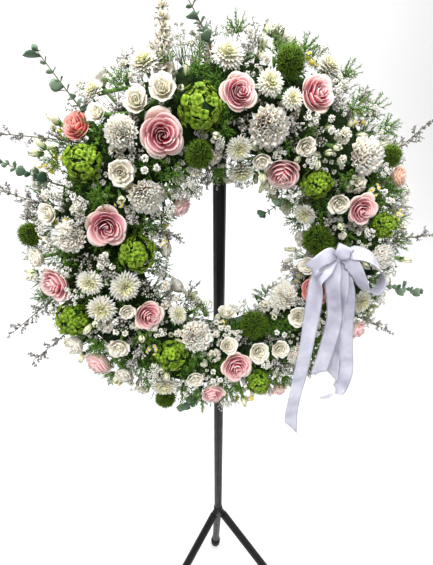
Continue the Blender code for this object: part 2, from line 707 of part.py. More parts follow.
def breath_cluster(item, root, claimed, owner, rng):
    """Small white balls on thin stems that fork from one point."""
    centre, facing = section_place(item.clock, item.section, item.size)
    fork = root.lerp(centre, FORK_SHARE)
    pieces = [stem([root, fork], [0.0014, 0.0012], 3)]
    across, along = side_vectors(facing)
    for k in range(BREATH_BALLS):
        angle = 2 * math.pi * (k + rng.random() * 0.5) / BREATH_BALLS
        reach = item.size * (0.25 if k == 0 else 0.85)
        tip = centre + (across * math.cos(angle) + along * math.sin(angle)) * reach
        tip += facing * item.size * (0.55 if k == 0 else 0.1)
        if claimed.room([fork.lerp(tip, share) for share in (0.5, 0.75, 1.0)]) < BALL_ROOM:
            continue
        pieces.append(floret(fork - (tip - fork) * 0.05, tip, BALL_RADIUS))
        claimed.add(tip, BALL_CLAIM, owner)
    claimed.add_run(root, fork, 0.0014, owner)
    return pieces


def leaf(place, direction, normal, length, width, thick):
    """A thin lens-shaped leaf with six edge points."""
    across = normal.cross(direction).normalized()
    edge = [place]
    edge += [place + direction * length * a + across * width * b for a, b in ((0.35, 0.5), (0.75, 0.42))]
    edge.append(place + direction * length)
    edge += [place + direction * length * a - across * width * b for a, b in ((0.75, 0.42), (0.35, 0.5))]
    bm = bmesh.new()
    ring = [bm.verts.new(spot) for spot in edge]
    top = bm.verts.new(place + direction * length * 0.5 + normal * thick)
    low = bm.verts.new(place + direction * length * 0.5 - normal * thick)
    for near, far in zip(ring, ring[1:] + ring[:1]):
        bm.faces.new((near, far, top))
        bm.faces.new((far, near, low))
    return object_from(bm, "leaf")


def spray(kind, clock, reach, front, claimed, rng):
    """A thin leafy stem from the greenery out past the blooms, started where its way is clear."""
    inside = reach < RING_RADIUS
    section = 150 if inside else 30
    for ring in range(6):
        for turn in range(8 if ring else 1):
            start_clock = clock + 3.0 * ring * math.cos(turn * math.pi / 4)
            start_section = section + 9.0 * ring * math.sin(turn * math.pi / 4)
            owner = sector_of(start_clock)
            edge = (start_clock - SECTOR_START) % SECTOR_ANGLE
            if edge < SECTOR_EDGE or edge > SECTOR_ANGLE - SECTOR_EDGE:
                continue
            root = root_place(start_clock, start_section)
            lift = ring_point(start_clock, 1.5 * ROOT_OUT * math.cos(math.radians(start_section)),
                              0.045 if inside else 0.060)
            for swing in (0.0, 5.0, -5.0, 9.0, -9.0):
                end = ring_point(clock + swing, reach - RING_RADIUS, front)
                places = curve_places(root, lift, end, len(SPRAY_RADII))
                samples = [near.lerp(far, share) for near, far in zip(places, places[1:])
                           for share in (0.0, 0.33, 0.66)]
                if claimed.room(samples[3:] + [end]) > SPRAY_CLEAR:
                    return owner, grow_spray(kind, places, claimed, "greenery_%d" % (owner + 1), rng)
    return None, []


def grow_spray(kind, places, claimed, owner, rng):
    pieces = [stem(places, SPRAY_RADII, 3)]
    for near, far in zip(places, places[1:]):
        claimed.add_run(near, far, 0.0016, owner)
    direction = (places[-1] - places[-2]).normalized()
    across, along = side_vectors(direction)
    count = SPRAY_BITS[kind]
    for k in range(count):
        t = 0.50 + 0.46 * k / (count - 1)
        spot = t * (len(places) - 1)
        near = int(min(spot, len(places) - 2))
        base = places[near].lerp(places[near + 1], spot - near)
        side = 1.0 if k % 2 else -1.0
        turn = rng.uniform(-0.7, 0.7)
        outward = (across * math.cos(turn) + along * math.sin(turn)) * side
        way = (outward + direction * (0.5 if kind == "eucalyptus" else 1.0)).normalized()
        length, width, thick = BITS[kind]
        length *= rng.uniform(0.88, 1.12)
        samples = [base + way * length * share for share in (0.3, 0.6, 1.0)]
        if claimed.room(samples, owner) < BIT_CLEAR:
            continue
        normal = way.cross(direction).normalized()
        pieces.append(leaf(base - way * 0.001, way, normal, length, width, thick))
        for sample in samples:
            claimed.add(sample, BIT_CLEAR, owner)
    return pieces


def claim_stem(item, claimed, owner, foot):
    centre, facing = section_place(item.clock, item.section, item.size)
    neck = centre - facing * item.size * 0.6
    claimed.add_run(neck, foot, STEM_CLEAR, owner)
    return neck


def ribbon_run(name, cut, stations):
    """A flat band through places in the ring's plane, with both faces split along the same diagonals."""
    tail = name.startswith("tail")
    knots = [plane_point(*place) for place, width_way in stations]
    ways = [RADIAL_X * way[0] + RING_UP * way[1] + RING_FACE * way[2] for place, way in stations]
    smooth = []
    for k in range(len(knots) - 1):
        before = max(k - 1, 0)
        after = min(k + 2, len(knots) - 1)
        for share in (0.0,) if tail else (0.0, 0.5):
            smooth.append((hermite(knots[before], knots[k], knots[k + 1], knots[after], share),
                           ways[k].lerp(ways[k + 1], share)))
    smooth.append((knots[-1], ways[-1]))
    rows = []
    for k, (place, wide) in enumerate(smooth):
        before = smooth[max(k - 1, 0)][0]
        after = smooth[min(k + 1, len(smooth) - 1)][0]
        along = (after - before).normalized()
        across = (wide - along * wide.dot(along)).normalized()
        normal = along.cross(across).normalized()
        narrow = RIBBON_PINCH if k == 0 or (not tail and k == len(smooth) - 1) else 1.0
        half = across * RIBBON_WIDTH / 2 * narrow
        if k == len(smooth) - 1:
            half += along * cut / 2
        thick = normal * RIBBON_THICK / 2
        rows.append([place + half + thick, place - half + thick, place - half - thick, place + half - thick])
    return loft(rows, name, turned=(2,))


def hermite(before, start, end, after, t):
    slope_start = (end - before) / 2
    slope_end = (after - start) / 2
    a = 2 * t ** 3 - 3 * t ** 2 + 1
    b = t ** 3 - 2 * t ** 2 + t
    c = -2 * t ** 3 + 3 * t ** 2
    d = t ** 3 - t ** 2
    return start * a + slope_start * b + end * c + slope_end * d


def ring_channel(profile, name):
    """A closed section turned right round the ring's own axis."""
    rows = []
    for k in range(RING_STEPS):
        clock = SECTOR_START + 360.0 * k / RING_STEPS
        rows.append([ring_point(clock, out, front) for out, front in profile])
    bm = bmesh.new()
    rings = [[bm.verts.new(place) for place in row] for row in rows]
    count = len(profile)
    for near, far in zip(rings, rings[1:] + rings[:1]):
        for i in range(count):
            j = (i + 1) % count
            bm.faces.new((near[i], near[j], far[j], far[i]))
    return object_from(bm, name)


def peg_ends():
    """Where the two pegs leave the pole and where they end in the tray, top first."""
    ends = []
    for clock in (0.0, 180.0):
        end = ring_point(clock, 0.0, TRAY_BACK + PEG_DEPTH)
        start = end - RING_FACE * ((end.y - POLE_PLACE.y) / RING_FACE.y)
        ends.append((start, end))
    return ends


def build_stand():
    up = Vector((0.0, 0.0, 1.0))
    hub = POLE_PLACE + up * HUB_HEIGHT
    spigot_radius = (TUBE_RADIUS - TUBE_WALL) * FLAT - GAP
    pole_low = hub + up * POLE_START
    pole = [tube(pole_low, POLE_PLACE + up * POLE_TOP, "pole")]
    pole += [cylinder(start, end, PEG_RADIUS, 6, "peg") for start, end in peg_ends()]
    finished(combined(pole, "pole"), "pole", "stand")

    bm = bmesh.new()
    bmesh.ops.create_icosphere(bm, subdivisions=2, radius=HUB_RADIUS)
    bm.transform(Matrix.Translation(hub))
    knuckle = [object_from(bm, "knuckle")]
    knuckle.append(cylinder(hub, pole_low + up * SPIGOT_LENGTH, spigot_radius, 6, "spigot"))
    for side, (right, back) in LEG_FEET.items():
        ground = POLE_PLACE + Vector((right, back, 0.0))
        way = (ground - hub).normalized()
        start = hub + way * LEG_START
        knuckle.append(cylinder(hub, start + way * SPIGOT_LENGTH, spigot_radius, 6, "spigot"))
        end = ground - way * (FOOT_FLOOR / abs(way.z) + FOOT_RADIUS * math.hypot(way.x, way.y) / abs(way.z))
        finished(tube(start, end, "leg"), "leg_" + side, "stand")
        build_foot(side, ground, way, end)
    finished(combined(knuckle, "hub"), "hub", "stand")


def build_foot(side, ground, way, leg_end):
    """A rubber cup over the leg's end, cut flat where it stands on the floor."""
    cup = cylinder(leg_end - way * FOOT_HEIGHT, ground + way * 0.03, FOOT_RADIUS, TUBE_SIDES, "cup")
    socket = cylinder(leg_end - way * (FOOT_HEIGHT + 0.01), leg_end + way * GAP, TUBE_RADIUS / FLAT + GAP,
                      TUBE_SIDES, "socket")
    bm = bmesh.new()
    bmesh.ops.create_cube(bm, size=0.3)
    bm.transform(Matrix.Translation(ground + Vector((0.0, 0.0, -0.15))))
    cup = combined([cup, socket, object_from(bm, "floor", False)], "cup", "DIFFERENCE")
    finished(cup, "foot_" + side, "rubber")


def build_ring():
    inner = TRAY_HALF - TRAY_WALL
    floor = TRAY_BACK + TRAY_WALL
    tray = ring_channel(((-TRAY_HALF, TRAY_BACK), (TRAY_HALF, TRAY_BACK), (TRAY_HALF, TRAY_RIM), (inner, TRAY_RIM),
                         (inner, floor), (-inner, floor), (-inner, TRAY_RIM), (-TRAY_HALF, TRAY_RIM)), "tray")
    side = inner - GAP
    foam = ring_channel(((-side, floor + GAP), (side, floor + GAP), (side, FOAM_FRONT), (-side, FOAM_FRONT)), "foam")
    for thing, name, material in ((tray, "ring_tray", "tray"), (foam, "foam_ring", "foam")):
        holes = [cylinder(start, end + RING_FACE * GAP, PEG_RADIUS + 2 * GAP, 6, "hole")
                 for start, end in peg_ends()]
        finished(combined([thing] + holes, name, "DIFFERENCE"), name, material)


def build_ribbon(items, claimed):
    knot = plane_point(*KNOT)
    pieces = [ribbon_run(*run) for run in RIBBON_RUNS]
    bm = bmesh.new()
    bmesh.ops.create_uvsphere(bm, u_segments=8, v_segments=6, radius=1.0)
    bm.transform(Matrix.Translation(knot) @ Matrix.Diagonal((*KNOT_HALF, 1.0)))
    pieces.append(object_from(bm, "knot"))
    item = next(item for item in items if item.kind == "knot")
    root = root_place(item.clock, item.section)
    pieces.append(stem([knot, item.centre(), root], [KNOT_STEM, KNOT_STEM, KNOT_STEM / 4], 3))
    claimed.add_run(knot, item.centre(), KNOT_CLEAR, "ribbon")
    claimed.add_run(item.centre(), root, KNOT_CLEAR, "ribbon")
    return combined(pieces, "ribbon"), item.centre(), root


def build_blooms(items, claimed, rng):
    """Every bloom node, and the holes that their stems need."""
    slots = {"rose": "rose", "carnation": "carnation", "mum": "chrysanthemum", "lisianthus": "lisianthus"}
    holes = []
    nodes = {}
    for item in items:
        if item.node and item.kind != "knot":
            nodes.setdefault(item.node, []).append(item)
    for node, group in nodes.items():
        pieces = []
        fork = None
        for item in group:
            centre, facing = section_place(item.clock, item.section, item.size)
            foot = fork or root_place(item.clock, item.section)
            neck = claim_stem(item, claimed, node, foot)
            if fork is None:
                fork = foot.lerp(neck, FORK_SHARE)
                holes.append((item.clock, neck, foot, item.size * NECK))
            pieces.append(place_head(item.kind, centre, facing, item.size, rng.uniform(0, math.tau), foot))
        finished(combined(pieces, node), node, slots[group[0].kind])
    return holes


def hole_cutter(neck, foot, radius):
    """A three-sided hole that a round tapering stem stands in, a hair clear all round."""
    way = (foot - neck).normalized()
    return stem([neck, foot + way * 2 * GAP], [2 * radius + 0.0010, 0.0014], 3, "hole")


def build_greenery(items, claimed, holes, rng):
    growing = {k: [] for k in range(SECTORS)}
    loose = [item for item in items if not item.node]
    owners = ["greenery_%d" % (sector_of(item.clock) + 1) for item in loose]
    for item, owner in zip(loose, owners):
        if item.kind != "breath":
            claimed.add(item.centre(), item.size, owner)
            claim_stem(item, claimed, owner, root_place(item.clock, item.section))
    for item, owner in zip(loose, owners):
        sector = sector_of(item.clock)
        root = root_place(item.clock, item.section)
        if item.kind == "breath":
            growing[sector] += breath_cluster(item, root, claimed, owner, rng)
            continue
        centre, facing = section_place(item.clock, item.section, item.size)
        growing[sector].append(place_head(item.kind, centre, facing, item.size, rng.uniform(0, math.tau), root))
    for kind, clock, reach, front in SPRAYS:
        sector, pieces = spray(kind, clock, reach, front, claimed, rng)
        if pieces:
            growing[sector] += pieces
    for sector in range(SECTORS):
        node = "greenery_%d" % (sector + 1)
        body = bed(sector, claimed)
        cutters = []
        for clock, neck, foot, radius in holes:
            past = (clock - SECTOR_START - sector * SECTOR_ANGLE + SECTOR_MARGIN) % 360.0
            if past < SECTOR_ANGLE + 2 * SECTOR_MARGIN:
                cutters.append(hole_cutter(neck, foot, radius))
        body = combined([body] + cutters, "bed", "DIFFERENCE")
        finished(combined([body] + growing[sector], node), node, "greenery")


def main():
    rng = random.Random(SEED)
    items = gather_items()
    relax(items)
    claimed = Claimed()
    for item in items:
        if item.node:
            claimed.add(item.centre(), item.size, item.node)
    build_stand()
    build_ring()
    ribbon, middle, root = build_ribbon(items, claimed)
    finished(ribbon, "ribbon", "ribbon")
    holes = build_blooms(items, claimed, rng)
    knot = next(item for item in items if item.kind == "knot")
    holes.append((knot.clock, middle, root, KNOT_STEM))
    build_greenery(items, claimed, holes, rng)


remove_all()
PARTS = new_collection("funeral_wreath")
WORK = new_collection("work")
MATERIALS = {name: make_material(name) for name in COLOURS}
main()
bpy.data.collections.remove(WORK)
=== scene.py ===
"""Funeral wreath on its stand: the finished look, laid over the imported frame.

The planting is worked out by the same rules as the solids, so that every bloom, tuft and spray
here stands where its solid does.  Metres, +Z up, the wreath facing -Y.
"""
import math
import random

import bmesh
import bpy
import numpy as np
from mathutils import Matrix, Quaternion, Vector


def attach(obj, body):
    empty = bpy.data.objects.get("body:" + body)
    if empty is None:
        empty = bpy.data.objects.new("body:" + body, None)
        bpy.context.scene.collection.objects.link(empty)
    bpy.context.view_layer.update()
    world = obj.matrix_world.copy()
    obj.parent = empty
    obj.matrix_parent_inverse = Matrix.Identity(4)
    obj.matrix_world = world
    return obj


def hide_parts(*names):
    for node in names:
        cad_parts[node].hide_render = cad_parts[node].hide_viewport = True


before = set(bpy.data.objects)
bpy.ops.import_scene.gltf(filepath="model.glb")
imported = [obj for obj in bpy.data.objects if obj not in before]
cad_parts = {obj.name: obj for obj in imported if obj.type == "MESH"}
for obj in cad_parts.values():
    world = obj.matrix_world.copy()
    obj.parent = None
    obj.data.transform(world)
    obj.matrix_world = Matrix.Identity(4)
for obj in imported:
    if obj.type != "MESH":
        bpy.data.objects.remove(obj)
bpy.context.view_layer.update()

# Camera, fitted to the photograph
CAMERA_PLACE = (-0.1526, -0.5314, 1.6345)
CAMERA_DOWN = 31.2
CAMERA_YAW = 12.3
CAMERA_LENS = 22.94
CAMERA_SENSOR = 36.0

# Stage: the floor bends up into a wall, and each light has its place, its aim, its watts and its width
STAGE_HALF = 12.0
STAGE_BACK = 3.4
STAGE_BEND = 1.6
WORLD_STRENGTH = 0.60
LIGHTS = (
    ("key", (-0.9, -1.6, 3.3), (0.0, 0.0, 1.3), 62.0, 0.9),
    ("top", (0.5, 0.1, 3.3), (0.0, 0.0, 1.2), 22.0, 1.0),
    ("fill", (2.2, -1.2, 1.4), (0.0, 0.0, 1.0), 4.0, 1.8),
    ("wall", (0.0, 0.8, 4.2), (0.0, 3.4, 0.9), 90.0, 2.5),
)

# Stand and ring, as in the solids
POLE_PLACE = Vector((-0.0085, 0.1044, 0.0))
RING_LEAN = math.radians(7.0)
RING_FORWARD = 0.100
RING_HEIGHT = 1.366
RING_RADIUS = 0.214
TRAY_HALF = 0.0475
FOAM_FRONT = 0.008
DOME_OUT = 0.112
DOME_FRONT = 0.085
SINK = 0.65
BED_OUT = 0.060
BED_FRONT = 0.033
BED_SIDE = -0.026
ROOT_OUT = 0.050
ROOT_FRONT = 0.0215
SECTORS = 8
SECTOR_START = 11.0
HEAD_GAP = 0.0012
RELAX_ROUNDS = 160
PUSH_SHARE = 0.55
SECTOR_ANGLE = 360.0 / SECTORS
SECTOR_EDGE = 3.0
SEED = 41
SECTION_LEAST = -16.0
SECTION_MOST = 202.0
NECK_SHARE = 0.6
FORK_SHARE = 0.55

# Room that thin runs take up, each a radius in metres
STEM_CLEAR = 0.0022
KNOT_CLEAR = 0.0018
TWIG_CLEAR = 0.0016
FORK_CLEAR = 0.0014

# The blooms of each kind: its node's number, clock angle from the top as seen from the front, section
# angle from the outer rim (0) over the front (90) to the hole (180), and diameter in millimetres
BLOOMS = {
    "rose": ((1, 331, 89, 60), (2, 0, 78, 46), (3, 22, 67, 50), (4, 32, 136, 54), (5, 70, 97, 47),
        (6, 292, 93, 57), (7, 268, 49, 49), (8, 244, 118, 46), (9, 182, 104, 54), (10, 236, 37, 48),
        (11, 192, 67, 44), (12, 117, 132, 52), (13, 312, 51, 38), (14, 66, 51, 34), (15, 126, 50, 42),
        (16, 314, 169, 38), (17, 164, 38, 34)),
    "carnation": ((1, 324, 70, 40), (2, 12, 100, 56), (3, 52, 83, 54), (4, 286, 72, 45),
        (5, 309, 114, 47), (6, 210, 133, 54), (7, 136, 157, 52), (8, 94, 74, 47)),
    "mum": ((1, 334, 38, 40), (1, 322, 30, 30), (2, 356, 52, 45), (3, 8, 75, 38), (3, 17, 82, 30),
        (4, 25, 42, 40), (5, 3, 147, 44), (5, 358, 120, 38), (6, 266, 110, 48), (6, 258, 85, 46),
        (6, 268, 84, 40), (7, 113, 78, 46), (8, 213, 66, 50)),
    "lisianthus": ((1, 328, 58, 34), (1, 336, 66, 34), (1, 319, 60, 26), (2, 309, 88, 35),
        (3, 276, 36, 31), (3, 289, 52, 30), (4, 246, 35, 38), (4, 229, 58, 30), (5, 160, 107, 34),
        (5, 169, 111, 38), (6, 138, 130, 38), (7, 62, 112, 34)),
}
BLOOM_NODES = {
    "rose": "rose_%02d", "carnation": "carnation_%d", "mum": "chrysanthemum_%d",
    "lisianthus": "lisianthus_%d",
}
# Heads and tufts that belong to the greenery: clock and section angle, and diameter where it varies
FILLERS = {
    "hydrangea": ((341, 84, 56), (306, 66, 47), (46, 118, 46), (280, 118, 56), (256, 58, 52),
        (219, 104, 50), (173, 78, 44), (80, 77, 40)),
    "greenball": ((14, 54, 44), (58, 54, 36), (281, 20, 38), (168, 146, 56), (84, 145, 58), (208, 34, 42),
        (338, 116, 42)),
    "lisianthus": ((10, 123, 28), (28, 106, 30), (240, 79, 34), (253, 103, 26), (276, 172, 32),
        (187, 121, 33), (105, 147, 33), (203, 88, 33), (188, 168, 34)),
    "mum": ((63, 152, 40), (230, 141, 36)),
    "carnation": ((154, 97, 40),),
}
FERNS = (
    (330, 44), (348, 63), (303, 40), (328, 111), (31, 29), (38, 57), (53, 24), (1, 14), (20, 30),
    (50, 104), (300, 83), (262, 16), (244, 62), (217, 158), (184, 76), (106, 79), (150, 60), (122, 95),
)
BABYS_BREATH = (
    (297, 60), (276, 95), (249, 90), (319, 97), (33, 86), (2, 38), (70, 78), (155, 125), (196, 142),
    (195, 92), (100, 55),
)
BUDS = (
    (311, 26), (347, 102), (38, 94), (16, 140), (304, 96), (239, 101), (73, 119), (152, 140), (180, 62),
    (96, 40),
)
# Each spray: kind, clock angle, its tip's distance from the ring's centre, and how far forward it ends
SPRAYS = (
    ("lavender", 311, 0.362, 0.03), ("stock", 336, 0.352, 0.03), ("lavender", 59, 0.362, 0.03),
    ("lavender", 89, 0.368, 0.04), ("lavender", 122, 0.385, 0.01), ("lavender", 291, 0.352, 0.03),
    ("lavender", 265, 0.366, 0.03), ("lavender", 255, 0.378, 0.02), ("lavender", 222, 0.096, 0.01),
    ("lavender", 291, 0.105, 0.02), ("lavender", 104, 0.100, 0.02),
    ("eucalyptus", 328, 0.371, 0.03), ("eucalyptus", 297, 0.354, 0.03), ("eucalyptus", 354, 0.352, 0.03),
    ("eucalyptus", 107, 0.386, 0.03), ("eucalyptus", 45, 0.078, 0.0), ("eucalyptus", 197, 0.345, 0.0),
)
# Rows of ferns and lisianthus in turn on both rims: section angle and count
EXTRA_ROWS = ((-10, 7), (192, 4))
EXTRA_DIAMETER = 0.040
FERN_DIAMETER = 0.036
FERN_FULL = 0.0165
BREATH_DIAMETER = 0.030
BUD_DIAMETER = 0.015
BUD_RISE = 0.8
BUD_SCALE = 1.6
BREATH_BALLS = 3
BALL_ROOM = 0.0048
BALL_CLAIM = 0.0045
SPRAY_CLEAR = 0.0024
SPRAY_STEPS = 5
SPRAY_BITS = {"eucalyptus": 5, "lavender": 4, "stock": 4}
BIT_CLEAR = 0.006
BIT_LENGTHS = {"eucalyptus": 0.019, "lavender": 0.021, "stock": 0.021}
ROSE_COLOURS = {"rose_12": "coral", "rose_13": "coral", "rose_14": "peach"}

# Sprays: the places along one, and how many of them are bare
SPRAY_COUNT = 14
SPRAY_BARE = 6
STOCK_BARE = 4
STOCK_RADIUS = 0.0130

# Petals and leaves
PETAL_THIN = 0.0004
PETAL_MEDIUM = 0.0005
PETAL_THICK = 0.0006
EUCALYPTUS_THICK = 0.0007
STEM_RADIUS = 0.0022
FLORETS = 74
BALL_HAIRS = 1300

# A fern's twigs, and the needles on each, for a large one and a small one
FERN_LARGE = (12, 17)
FERN_SMALL = (8, 12)

# The mat under the leaves
MAT_STEPS = 19
MAT_ROUGH = 0.0012
MAT_MARGIN = 0.125
TRAY_GAP = 0.0006

# Tufts in the gaps: their radii with the tries for each, and how near they may stand to their neighbours
FILL_SIZES = ((0.021, 1200), (0.016, 2400), (0.0120, 3600), (0.0090, 4200))
FILL_ROOM = 0.55

# Leaves: how many are tried in each length, and each kind's share and slimness
LEAF_COUNT = 90
LEAF_KINDS = (("leaf", 0.34, 0.30), ("darkleaf", 0.42, 0.34), ("palm", 0.24, 0.13))

# Ribbon, in the ring's own plane: right, up and forward from the ring's centre
RIBBON_WIDTH = 0.025
RIBBON_THICK = 0.0006
PINCH = 0.30
PINCH_LENGTH = 0.028
WAVE_HEIGHT = 0.0009
WAVE_LENGTH = 0.021
CROWN = 0.0016
GATHER = 0.0022
CUT_LENGTH = 0.030
KNOT = (0.136, 0.010, 0.106)
KNOT_SECTION = 118
KNOT_SIZE = 0.016
# Each run: its name, how far its end is cut aslant, and its places with the way that its width points
RIBBON_RUNS = (
    ("left_loop", 0.0, (
        ((0.134, 0.009, 0.110), (-0.10, 1.00, 0.00)), ((0.112, 0.018, 0.122), (-0.35, 0.93, 0.00)),
        ((0.093, 0.012, 0.128), (-0.60, 0.75, 0.20)), ((0.087, 0.001, 0.121), (-0.70, 0.70, 0.10)),
        ((0.100, -0.004, 0.112), (-0.60, 0.75, 0.00)), ((0.136, 0.006, 0.106), (-0.10, 1.00, 0.00)))),
    ("middle_loop", 0.0, (
        ((0.137, 0.006, 0.109), (0.85, -0.50, 0.00)), ((0.131, 0.018, 0.125), (0.88, -0.45, 0.10)),
        ((0.136, 0.029, 0.124), (0.90, -0.42, 0.10)), ((0.142, 0.026, 0.114), (0.90, -0.42, 0.10)),
        ((0.140, 0.008, 0.105), (0.85, -0.50, 0.00)))),
    ("right_loop", 0.0, (
        ((0.138, 0.007, 0.110), (0.50, 0.80, 0.30)), ((0.150, 0.003, 0.117), (0.55, 0.75, 0.35)),
        ((0.166, -0.019, 0.120), (0.35, 0.35, 0.87)), ((0.182, -0.045, 0.119), (0.10, 0.15, 0.98)),
        ((0.197, -0.052, 0.118), (0.10, 0.10, 0.99)), ((0.209, -0.042, 0.118), (-0.15, 0.10, 0.98)),
        ((0.206, -0.020, 0.120), (-0.35, -0.10, 0.93)), ((0.184, 0.006, 0.121), (-0.35, -0.50, 0.80)),
        ((0.159, 0.016, 0.117), (-0.20, -0.60, 0.78)), ((0.140, 0.010, 0.107), (-0.10, -0.50, 0.85)))),
    ("tail_1", 0.038, (
        ((0.133, 0.006, 0.1095), (0.90, -0.30, 0.30)), ((0.114, -0.009, 0.1105), (0.50, -0.50, 0.70)),
        ((0.103, -0.024, 0.1105), (0.25, -0.10, 0.95)), ((0.103, -0.054, 0.109), (0.80, 0.00, 0.60)),
        ((0.100, -0.113, 0.107), (0.98, 0.00, 0.20)), ((0.097, -0.167, 0.104), (0.99, -0.05, 0.05)),
        ((0.089, -0.252, 0.098), (0.99, -0.10, 0.00)), ((0.086, -0.294, 0.095), (0.99, -0.10, 0.00)),
        ((0.088, -0.337, 0.092), (0.99, 0.00, 0.00)))),
    ("tail_2", -0.022, (
        ((0.135, 0.006, 0.107), (0.95, 0.00, 0.30)), ((0.130, -0.027, 0.109), (0.75, 0.10, 0.60)),
        ((0.136, -0.059, 0.108), (0.65, 0.10, 0.75)), ((0.143, -0.098, 0.106), (0.70, 0.20, 0.65)),
        ((0.139, -0.151, 0.103), (0.75, 0.20, 0.60)), ((0.130, -0.212, 0.098), (0.80, 0.25, 0.50)))),
    ("tail_3", 0.016, (
        ((0.138, 0.005, 0.104), (0.90, 0.00, 0.40)), ((0.148, -0.035, 0.1045), (0.70, 0.10, 0.70)),
        ((0.150, -0.070, 0.104), (0.40, 0.00, 0.91)), ((0.152, -0.114, 0.102), (0.35, 0.00, 0.93)),
        ((0.156, -0.167, 0.099), (0.40, 0.00, 0.91)), ((0.160, -0.228, 0.095), (0.45, 0.05, 0.89)))),
    ("tail_4", 0.018, (
        ((0.139, 0.006, 0.1015), (0.90, 0.10, 0.30)), ((0.157, -0.034, 0.1005), (0.65, 0.10, 0.75)),
        ((0.166, -0.067, 0.0995), (0.80, 0.10, 0.60)), ((0.171, -0.119, 0.098), (0.98, 0.10, 0.15)),
        ((0.179, -0.172, 0.0965), (0.95, 0.00, 0.20)), ((0.187, -0.226, 0.094), (0.85, 0.15, 0.30)),
        ((0.178, -0.264, 0.092), (0.60, 0.65, 0.30)), ((0.153, -0.281, 0.091), (0.05, 0.95, 0.20)))),
)

RADIAL_X = Vector((1.0, 0.0, 0.0))
RING_UP = Vector((0.0, math.sin(RING_LEAN), math.cos(RING_LEAN)))
RING_FACE = Vector((0.0, -math.cos(RING_LEAN), math.sin(RING_LEAN)))
RING_CENTRE = POLE_PLACE + Vector((0.0, -RING_FORWARD, RING_HEIGHT))


def ring_point(clock, out, front):
    """A place by clock angle (degrees), distance outwards from the tube's middle, and forwards."""
    angle = math.radians(clock)
    radial = RADIAL_X * math.sin(angle) + RING_UP * math.cos(angle)
    return RING_CENTRE + radial * (RING_RADIUS + out) + RING_FACE * front


def plane_point(right, up, front):
    return RING_CENTRE + RADIAL_X * right + RING_UP * up + RING_FACE * front


def ring_coordinates(place):
    """The reverse of ring_point."""
    offset = place - RING_CENTRE
    right = offset.dot(RADIAL_X)
    up = offset.dot(RING_UP)
    return math.degrees(math.atan2(right, up)), math.hypot(right, up) - RING_RADIUS, offset.dot(RING_FACE)


def section_place(clock, section, size):
    """A head's centre and the way it faces, with size its radius."""
    angle = math.radians(section)
    out = DOME_OUT - SINK * size
    front = DOME_FRONT - SINK * size
    centre = ring_point(clock, out * math.cos(angle), front * math.sin(angle))
    foot = ring_point(clock, 0.35 * out * math.cos(angle), 0.1 * front * math.sin(angle) - 0.01)
    return centre, (centre - foot).normalized()


def root_place(clock, section):
    angle = math.radians(section)
    front = max(ROOT_FRONT * math.sin(angle), BED_SIDE + 0.008)
    return ring_point(clock, ROOT_OUT * math.cos(angle), front)


def side_vectors(direction):
    helper = Vector((0.0, 0.0, 1.0)) if abs(direction.z) < 0.9 else Vector((1.0, 0.0, 0.0))
    across = direction.cross(helper).normalized()
    return across, direction.cross(across).normalized()


class Item:
    """One head or tuft: what it is, whose node it is in, and where it lies on the dome."""

    def __init__(self, node, kind, clock, section, diameter):
        self.node = node
        self.kind = kind
        self.clock = float(clock) % 360.0
        self.section = float(section)
        self.size = diameter / 2

    def centre(self):
        return section_place(self.clock, self.section, self.size)[0]

    def move_to(self, place):
        clock, out, front = ring_coordinates(place)
        self.clock = clock % 360.0
        angle = math.atan2(front / (DOME_FRONT - SINK * self.size), out / (DOME_OUT - SINK * self.size))
        section = math.degrees(angle)
        if section < -90:
            section += 360
        self.section = min(max(section, SECTION_LEAST), SECTION_MOST)


def sector_of(clock):
    return int(((clock - SECTOR_START) % 360.0) // SECTOR_ANGLE)


def greenery_node(sector):
    return "greenery_%d" % (sector + 1)


def gather_items():
    millimetre = 0.001
    items = []
    for kind, rows in BLOOMS.items():
        for number, clock, section, size in rows:
            items.append(Item(BLOOM_NODES[kind] % number, kind, clock, section, size * millimetre))
    for kind, rows in FILLERS.items():
        items += [Item("", kind, clock, section, size * millimetre) for clock, section, size in rows]
    items += [Item("", "fern", clock, section, FERN_DIAMETER) for clock, section in FERNS]
    items += [Item("", "breath", clock, section, BREATH_DIAMETER) for clock, section in BABYS_BREATH]
    items += [Item("", "bud", clock, section, BUD_DIAMETER) for clock, section in BUDS]
    for section, count in EXTRA_ROWS:
        for k in range(count):
            kind = "fern" if k % 2 else "lisianthus"
            items.append(Item("", kind, 360.0 * (k + 0.5) / count + section, section, EXTRA_DIAMETER))
    clock = ring_coordinates(plane_point(*KNOT))[0]
    items.append(Item("ribbon", "knot", clock, KNOT_SECTION, KNOT_SIZE))
    return items


def relax(items):
    """Push heads apart along the dome until none overlap, each moving as little as it can."""
    radii = np.array([item.size for item in items])
    fixed = np.array([item.kind == "knot" for item in items])
    weight = radii ** 2
    weight[fixed] = 1.0
    limit = radii[:, None] + radii[None, :] + HEAD_GAP
    for _ in range(RELAX_ROUNDS):
        places = np.array([item.centre() for item in items])
        offset = places[:, None, :] - places[None, :, :]
        distance = np.linalg.norm(offset, axis=2) + 1e-9
        overlap = np.clip(limit - distance, 0.0, None)
        np.fill_diagonal(overlap, 0.0)
        if overlap.max() < 0.0002:
            break
        share = weight[None, :] / (weight[:, None] + weight[None, :])
        push = (offset / distance[:, :, None]) * (overlap * share * PUSH_SHARE)[:, :, None]
        moved = places + push.sum(axis=1)
        for item, place, still in zip(items, moved, fixed):
            if not still:
                item.move_to(Vector(place))


